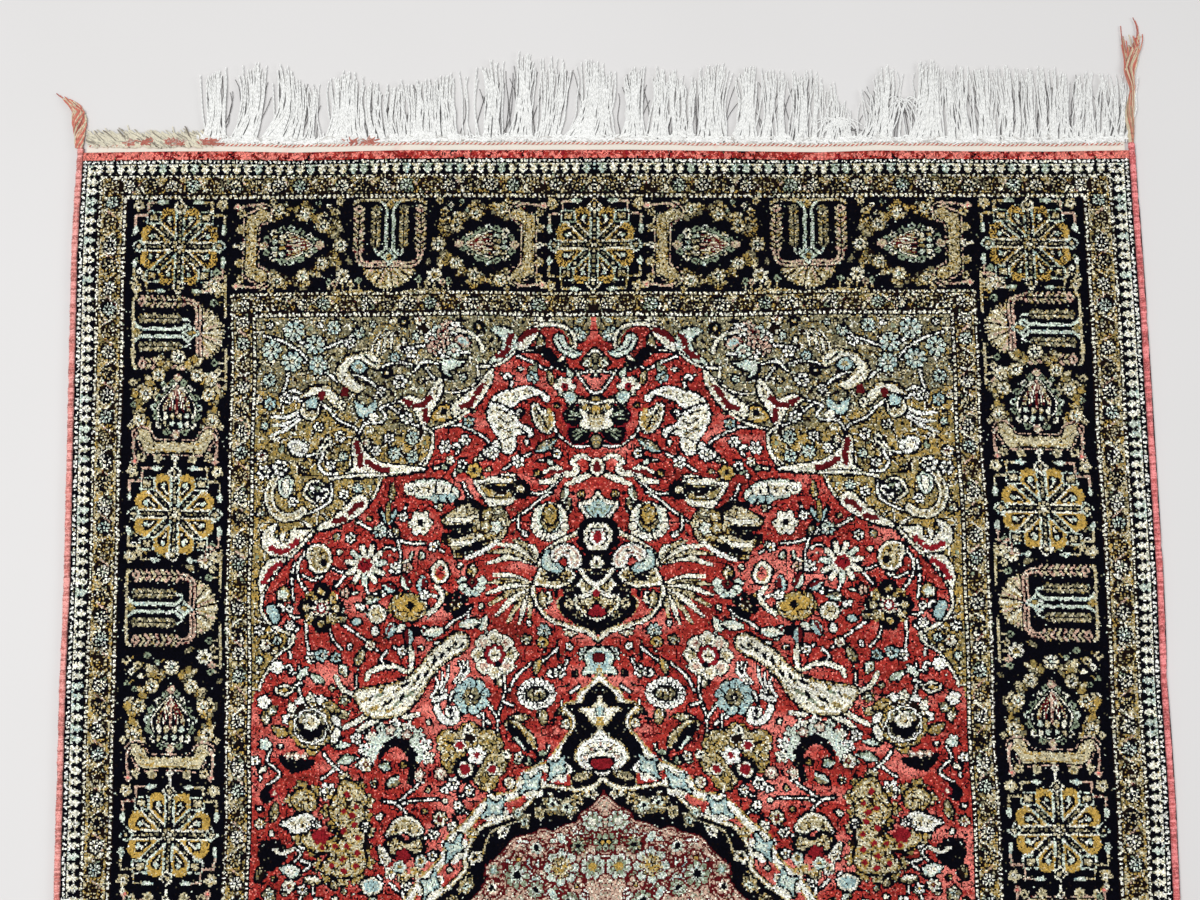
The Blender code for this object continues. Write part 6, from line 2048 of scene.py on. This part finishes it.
def make_cut_ends(sign, cotton, wool):
    """Short cut warps and coral tufts that lie over the flat weave near the left corner."""
    made = []
    for name, material, count, size, lift in (("cut_warps", cotton, 400, (12, 20), 0),
            ("coral_tufts", wool, 150, (3, 7), 1)):
        rng = np.random.default_rng(31 if sign > 0 else 37)
        paths, tones = [], []
        t = np.linspace(0, 1, 7)
        for k in range(count):
            if name == "cut_warps":
                x0 = KILIM_LEFT / MM + 9 + 116 * k / count + rng.uniform(-0.6, 0.6)
                y0, angle = rng.uniform(2.5, 11.5), math.radians(rng.normal(140, 13))
            else:
                spot = rng.choice((44, 58, 84, 92, 118, 124, 263, 281))
                x0, y0 = KILIM_LEFT / MM + spot + rng.normal(0, 2.8), rng.uniform(5.0, 9.5)
                angle = rng.uniform(0, math.pi)
            length = rng.uniform(*size)
            x = x0 + length * t * math.cos(angle) + 0.7 * np.sin(5 * t + k)
            y = PILE_HALF_LENGTH / MM + y0 + length * t * math.sin(angle) * (1 - 0.15 * t)
            x = np.maximum(x, KILIM_LEFT / MM - 1)
            off = np.clip((y - (PILE_HALF_LENGTH + KILIM_LENGTH) / MM + 1) / 4, 0, 1)
            z = (2.9 + rng.uniform(0, 1.1)) * (1 - off) + (1.2 + rng.uniform(0, 1.4)) * off + lift
            paths.append(strand_path(x * MM, y * MM, z * MM, 1.0 - 0.3 * t, sign))
            tones.append(rng.uniform(0, 1))
        piece = strands_piece(f"{name}_{end_name(sign)}", paths, 0.0008, tones)
        made.append(finish_piece(piece, material, (), 80.0))
    return made


def make_tassel(side, sign, cream, coral):
    """The frayed end of a side cord: a wound head and a loose bundle of yarns."""
    table = TASSEL_LEFT if side < 0 else TASSEL_RIGHT
    rng = np.random.default_rng(50 + 7 * side + 3 * sign)
    total = float(table[-1][0])
    x_root = float(outer_edge(PILE_HALF_LENGTH, side)) - side * SELVEDGE_WIDTH / 2
    y_root = PILE_HALF_LENGTH + SELVEDGE_OVERHANG + GAP
    corner = f"{end_name(sign)}_{side_name(side)}"
    made = []
    for colour, material, number in (("cream", cream, 40), ("coral", coral, 44 if side > 0 else 26)):
        paths = []
        tones = []
        for k in range(number):
            reach = total * (rng.uniform(0.62, 0.84) if side > 0 else rng.uniform(0.55, 0.9))
            if k < 3 and colour == "coral":
                reach = total * (1 - 0.04 * k)
            elif k % 5 == 0:
                reach = total * rng.uniform(0.2, 0.4)
            s = np.concatenate([np.linspace(-HEAD_LENGTH / MM, 0, 6)[:-1], np.linspace(0, reach, 18)])
            past = np.clip(s, 0, None)
            out = column(table, past, 1)
            spread = column(table, past, 2) * np.interp(s, (-12.5, -5, 0, 12), (0.6, 0.8, 0.9, 1.0))
            ring = rng.uniform(0, 2 * math.pi)
            size = math.sqrt(rng.uniform(0.02, 1)) * 0.5
            twist = ring + np.interp(s, (-12.5, total), (0, 4.5 if side > 0 else 7.0))
            loosen = np.clip((past / total - 0.55) / 0.45, 0, 1)
            off = size * spread * np.cos(twist * (1 - 0.5 * loosen)) + loosen * rng.normal(0, 1.2)
            lift = size * np.minimum(spread, 7) * np.sin(twist)
            x = side * (out + off)
            y = y_root / MM + HEAD_LENGTH / MM + s + loosen * rng.normal(0, 0.8)
            z = np.maximum(2.9 + 0.6 * lift * (1 - 0.55 * loosen) - 1.4 * loosen, 0.7)
            paths.append(np.column_stack([x_root + x * MM + SHIFT, sign * y * MM, z * MM,
                1 - 0.35 * loosen]))
            tones.append(rng.uniform(0, 1))
        piece = strands_piece(f"tassel_{corner}_{colour}", paths, 0.0007 if side > 0 else 0.0008, tones)
        nodes = (f"corner_tassel_{corner}",) if colour == "cream" else ()
        made.append(finish_piece(piece, material, nodes, 80.0))
    return made


# ---------------------------------------------------------------- stage
def soft_light(name, place, aim, size, power):
    """A rectangular studio light that faces a point."""
    light = bpy.data.lights.new(name, "AREA")
    light.shape = "RECTANGLE"
    light.size, light.size_y = size
    light.energy = power
    holder = bpy.data.objects.new(name, light)
    bpy.context.collection.objects.link(holder)
    holder.location = place
    away = np.array(place) - np.array(aim)
    away = away / np.linalg.norm(away)
    pitch = math.acos(away[2])
    heading = math.atan2(away[0], -away[1])
    holder.rotation_euler = (pitch, 0.0, heading)


CAMERA_FILM = 36.0            # width of the film, mm
CAMERA_LENS = 50.0            # mm
CAMERA_DISTANCE = 1.62
CAMERA_PITCH = 7.0            # degrees from straight down, towards the far end
CAMERA_ROLL = -0.3
CAMERA_TARGET = (-0.0106, 0.504)


def place_camera():
    """The camera above the rug, nearly straight down, at the photo's angle."""
    pitch, roll = math.radians(CAMERA_PITCH), math.radians(CAMERA_ROLL)
    forward = np.array([0.0, math.sin(pitch), -math.cos(pitch)])
    right = np.array([1.0, 0.0, 0.0])
    up = np.array([0.0, math.cos(pitch), math.sin(pitch)])
    right, up = (math.cos(roll) * right + math.sin(roll) * up, -math.sin(roll) * right + math.cos(roll)
        * up)
    camera = bpy.data.cameras.new("camera")
    camera.lens = CAMERA_LENS
    camera.sensor_width = CAMERA_FILM
    holder = bpy.data.objects.new("camera", camera)
    bpy.context.collection.objects.link(holder)
    target = np.array([CAMERA_TARGET[0] + SHIFT, CAMERA_TARGET[1], 0.0])
    where = target - forward * CAMERA_DISTANCE
    turned = np.eye(4)
    turned[:3, 0], turned[:3, 1], turned[:3, 2], turned[:3, 3] = right, up, -forward, where
    holder.matrix_world = Matrix(turned.tolist())
    bpy.context.scene.camera = holder


def make_floor():
    """The pale floor, just under the rug."""
    start_clean()
    bpy.ops.mesh.primitive_grid_add(x_subdivisions=8, y_subdivisions=8, size=14.0, location=(0, 0, -0.0004))
    floor = bpy.context.active_object
    floor.name = "floor"
    bpy.ops.object.transform_apply(location=True, rotation=False, scale=False)
    r = Recipe("pale_floor", roughness=0.7, specular=0.2)
    grain = r.noise(r.position(), 3.0, 4.0)
    r.colour(r.mix(r.range(grain, 0.3, 0.7, 0.0, 0.35), tint("d8d6d4"), tint("d1cfcc")))
    floor.data.materials.append(r.material)


# ---------------------------------------------------------------- operators
class RUG_OT_stage(bpy.types.Operator):
    """Lay the pale floor, hang the soft lights and set the camera above the rug"""

    bl_idname = "rug.stage"
    bl_label = "Stage and camera"

    def execute(self, context):
        make_floor()
        soft_light("overhead", (-0.8, 0.4, 2.5), (0, 0.25, 0), (1.6, 1.4), 54.0)
        soft_light("side", (2.3, 0.8, 1.4), (0, 0.3, 0), (1.0, 1.0), 17.0)
        world = bpy.data.worlds.new("studio")
        world.use_nodes = True
        world.node_tree.nodes["Background"].inputs[0].default_value = (0.93, 0.95, 1.0, 1.0)
        world.node_tree.nodes["Background"].inputs[1].default_value = 0.42
        context.scene.world = world
        context.scene.view_settings.view_transform = "Standard"
        place_camera()
        return {"FINISHED"}


class RUG_OT_pile(bpy.types.Operator):
    """Knot the pile and the woven back from the chart"""

    bl_idname = "rug.pile"
    bl_label = "Pile and back"

    def execute(self, context):
        codes = whole_chart()
        pile = make_pile(codes)
        back = make_back(codes)
        weave = flat_weave()
        ends = [make_kilim(sign, weave) for sign in (1, -1)]
        return {"FINISHED"}


class RUG_OT_sides(bpy.types.Operator):
    """Overcast both sides"""

    bl_idname = "rug.sides"
    bl_label = "Overcast sides"

    def execute(self, context):
        wool = tuple(context.scene.rug_yarns.overcast)
        deeper = tuple(c * share for c, share in zip(wool, (0.9, 0.58, 0.66)))
        make_selvedge(-1, overcast_yarn("overcast_wool_pale", wool))
        make_selvedge(1, overcast_yarn("overcast_wool_deep", deeper))
        return {"FINISHED"}


class RUG_OT_stitches(bpy.types.Operator):
    """Twine the red and white line along each flat end"""

    bl_idname = "rug.stitches"
    bl_label = "Stitch lines"

    def execute(self, context):
        yarns = context.scene.rug_yarns
        red = yarn("stitch_red", tuple(yarns.twine), toned(yarns.twine, 0.6), pitch=300.0)
        white = yarn("stitch_white", tint("f2efe4"), tint("d9cdb8"), pitch=300.0, fleck_and_groove_shade=0.15)
        for sign in (1, -1):
            make_stitch_line(sign, red, white)
        return {"FINISHED"}


class RUG_OT_fringe(bpy.types.Operator):
    """Lay out the warp fringe at both ends"""

    bl_idname = "rug.fringe"
    bl_label = "Fringes"

    def execute(self, context):
        yarns = context.scene.rug_yarns
        # the fringe's dark second colour is painted shade for its deeper strands
        cotton = yarn("fringe_cotton", tuple(yarns.fringe), tint("332b28"), 0.6, pitch=14.0, fleck_and_groove_shade=0.1,
            sheen=0.6)
        cut = yarn("cut_cotton", tint("fbf4dc"), tint("5d4a38"), 0.3, pitch=8.0, fleck_and_groove_shade=0.25)
        loops = yarn("root_cotton", tuple(yarns.fringe), tint("857b6f"), 0.5, pitch=1.2, fleck_and_groove_shade=0.0,
            sheen=0.6)
        wool = yarn("tuft_wool", tuple(yarns.tassel), tuple(yarns.kilim), 0.3, pitch=6.0)
        for sign in (1, -1):
            make_fringe(sign, cotton)
            make_root_loops(sign, loops)
            make_cut_ends(sign, cut, wool)
        return {"FINISHED"}


class RUG_OT_tassels(bpy.types.Operator):
    """Fray a tassel out of each end of the side cords"""

    bl_idname = "rug.tassels"
    bl_label = "Corner tassels"

    def execute(self, context):
        yarns = context.scene.rug_yarns
        cream = yarn("tassel_cream", tint("e8d8b8"), tint("a8805f"), 0.3, pitch=9.0, fleck_and_groove_shade=0.2)
        coral = yarn("tassel_coral", tuple(yarns.tassel), tint("8a3038"), 0.2, pitch=9.0, fleck_and_groove_shade=0.2)
        for side in (-1, 1):
            for sign in (1, -1):
                make_tassel(side, sign, cream, coral)
        return {"FINISHED"}


class RUG_PT_panel(bpy.types.Panel):
    """Everything that makes the rug, in order"""

    bl_idname = "RUG_PT_panel"
    bl_label = "Persian rug"
    bl_space_type = "VIEW_3D"
    bl_region_type = "UI"
    bl_category = "Rug"

    def draw(self, context):
        for operator in OPERATORS:
            self.layout.operator(operator.bl_idname)
        for group in (context.scene.rug_sizes, context.scene.rug_yarns, context.scene.rug_dyes):
            box = self.layout.box()
            for key in group.bl_rna.properties.keys():
                if key not in ("rna_type", "name"):
                    box.prop(group, key)


OPERATORS = (RUG_OT_stage, RUG_OT_pile, RUG_OT_sides, RUG_OT_stitches, RUG_OT_fringe, RUG_OT_tassels)
GROUPS = (("rug_dyes", RugDyes), ("rug_yarns", RugYarns), ("rug_sizes", RugSizes))


def register():
    for name, group in GROUPS:
        bpy.utils.register_class(group)
        setattr(bpy.types.Scene, name, bpy.props.PointerProperty(type=group))
    for operator in OPERATORS:
        bpy.utils.register_class(operator)
    bpy.utils.register_class(RUG_PT_panel)


def unregister():
    bpy.utils.unregister_class(RUG_PT_panel)
    for operator in reversed(OPERATORS):
        bpy.utils.unregister_class(operator)
    for name, group in reversed(GROUPS):
        delattr(bpy.types.Scene, name)
        bpy.utils.unregister_class(group)


def main():
    register()
    bpy.ops.rug.stage()
    bpy.ops.rug.pile()
    bpy.ops.rug.sides()
    bpy.ops.rug.stitches()
    bpy.ops.rug.fringe()
    bpy.ops.rug.tassels()
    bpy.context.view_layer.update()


if __name__ == "__main__":
    main()
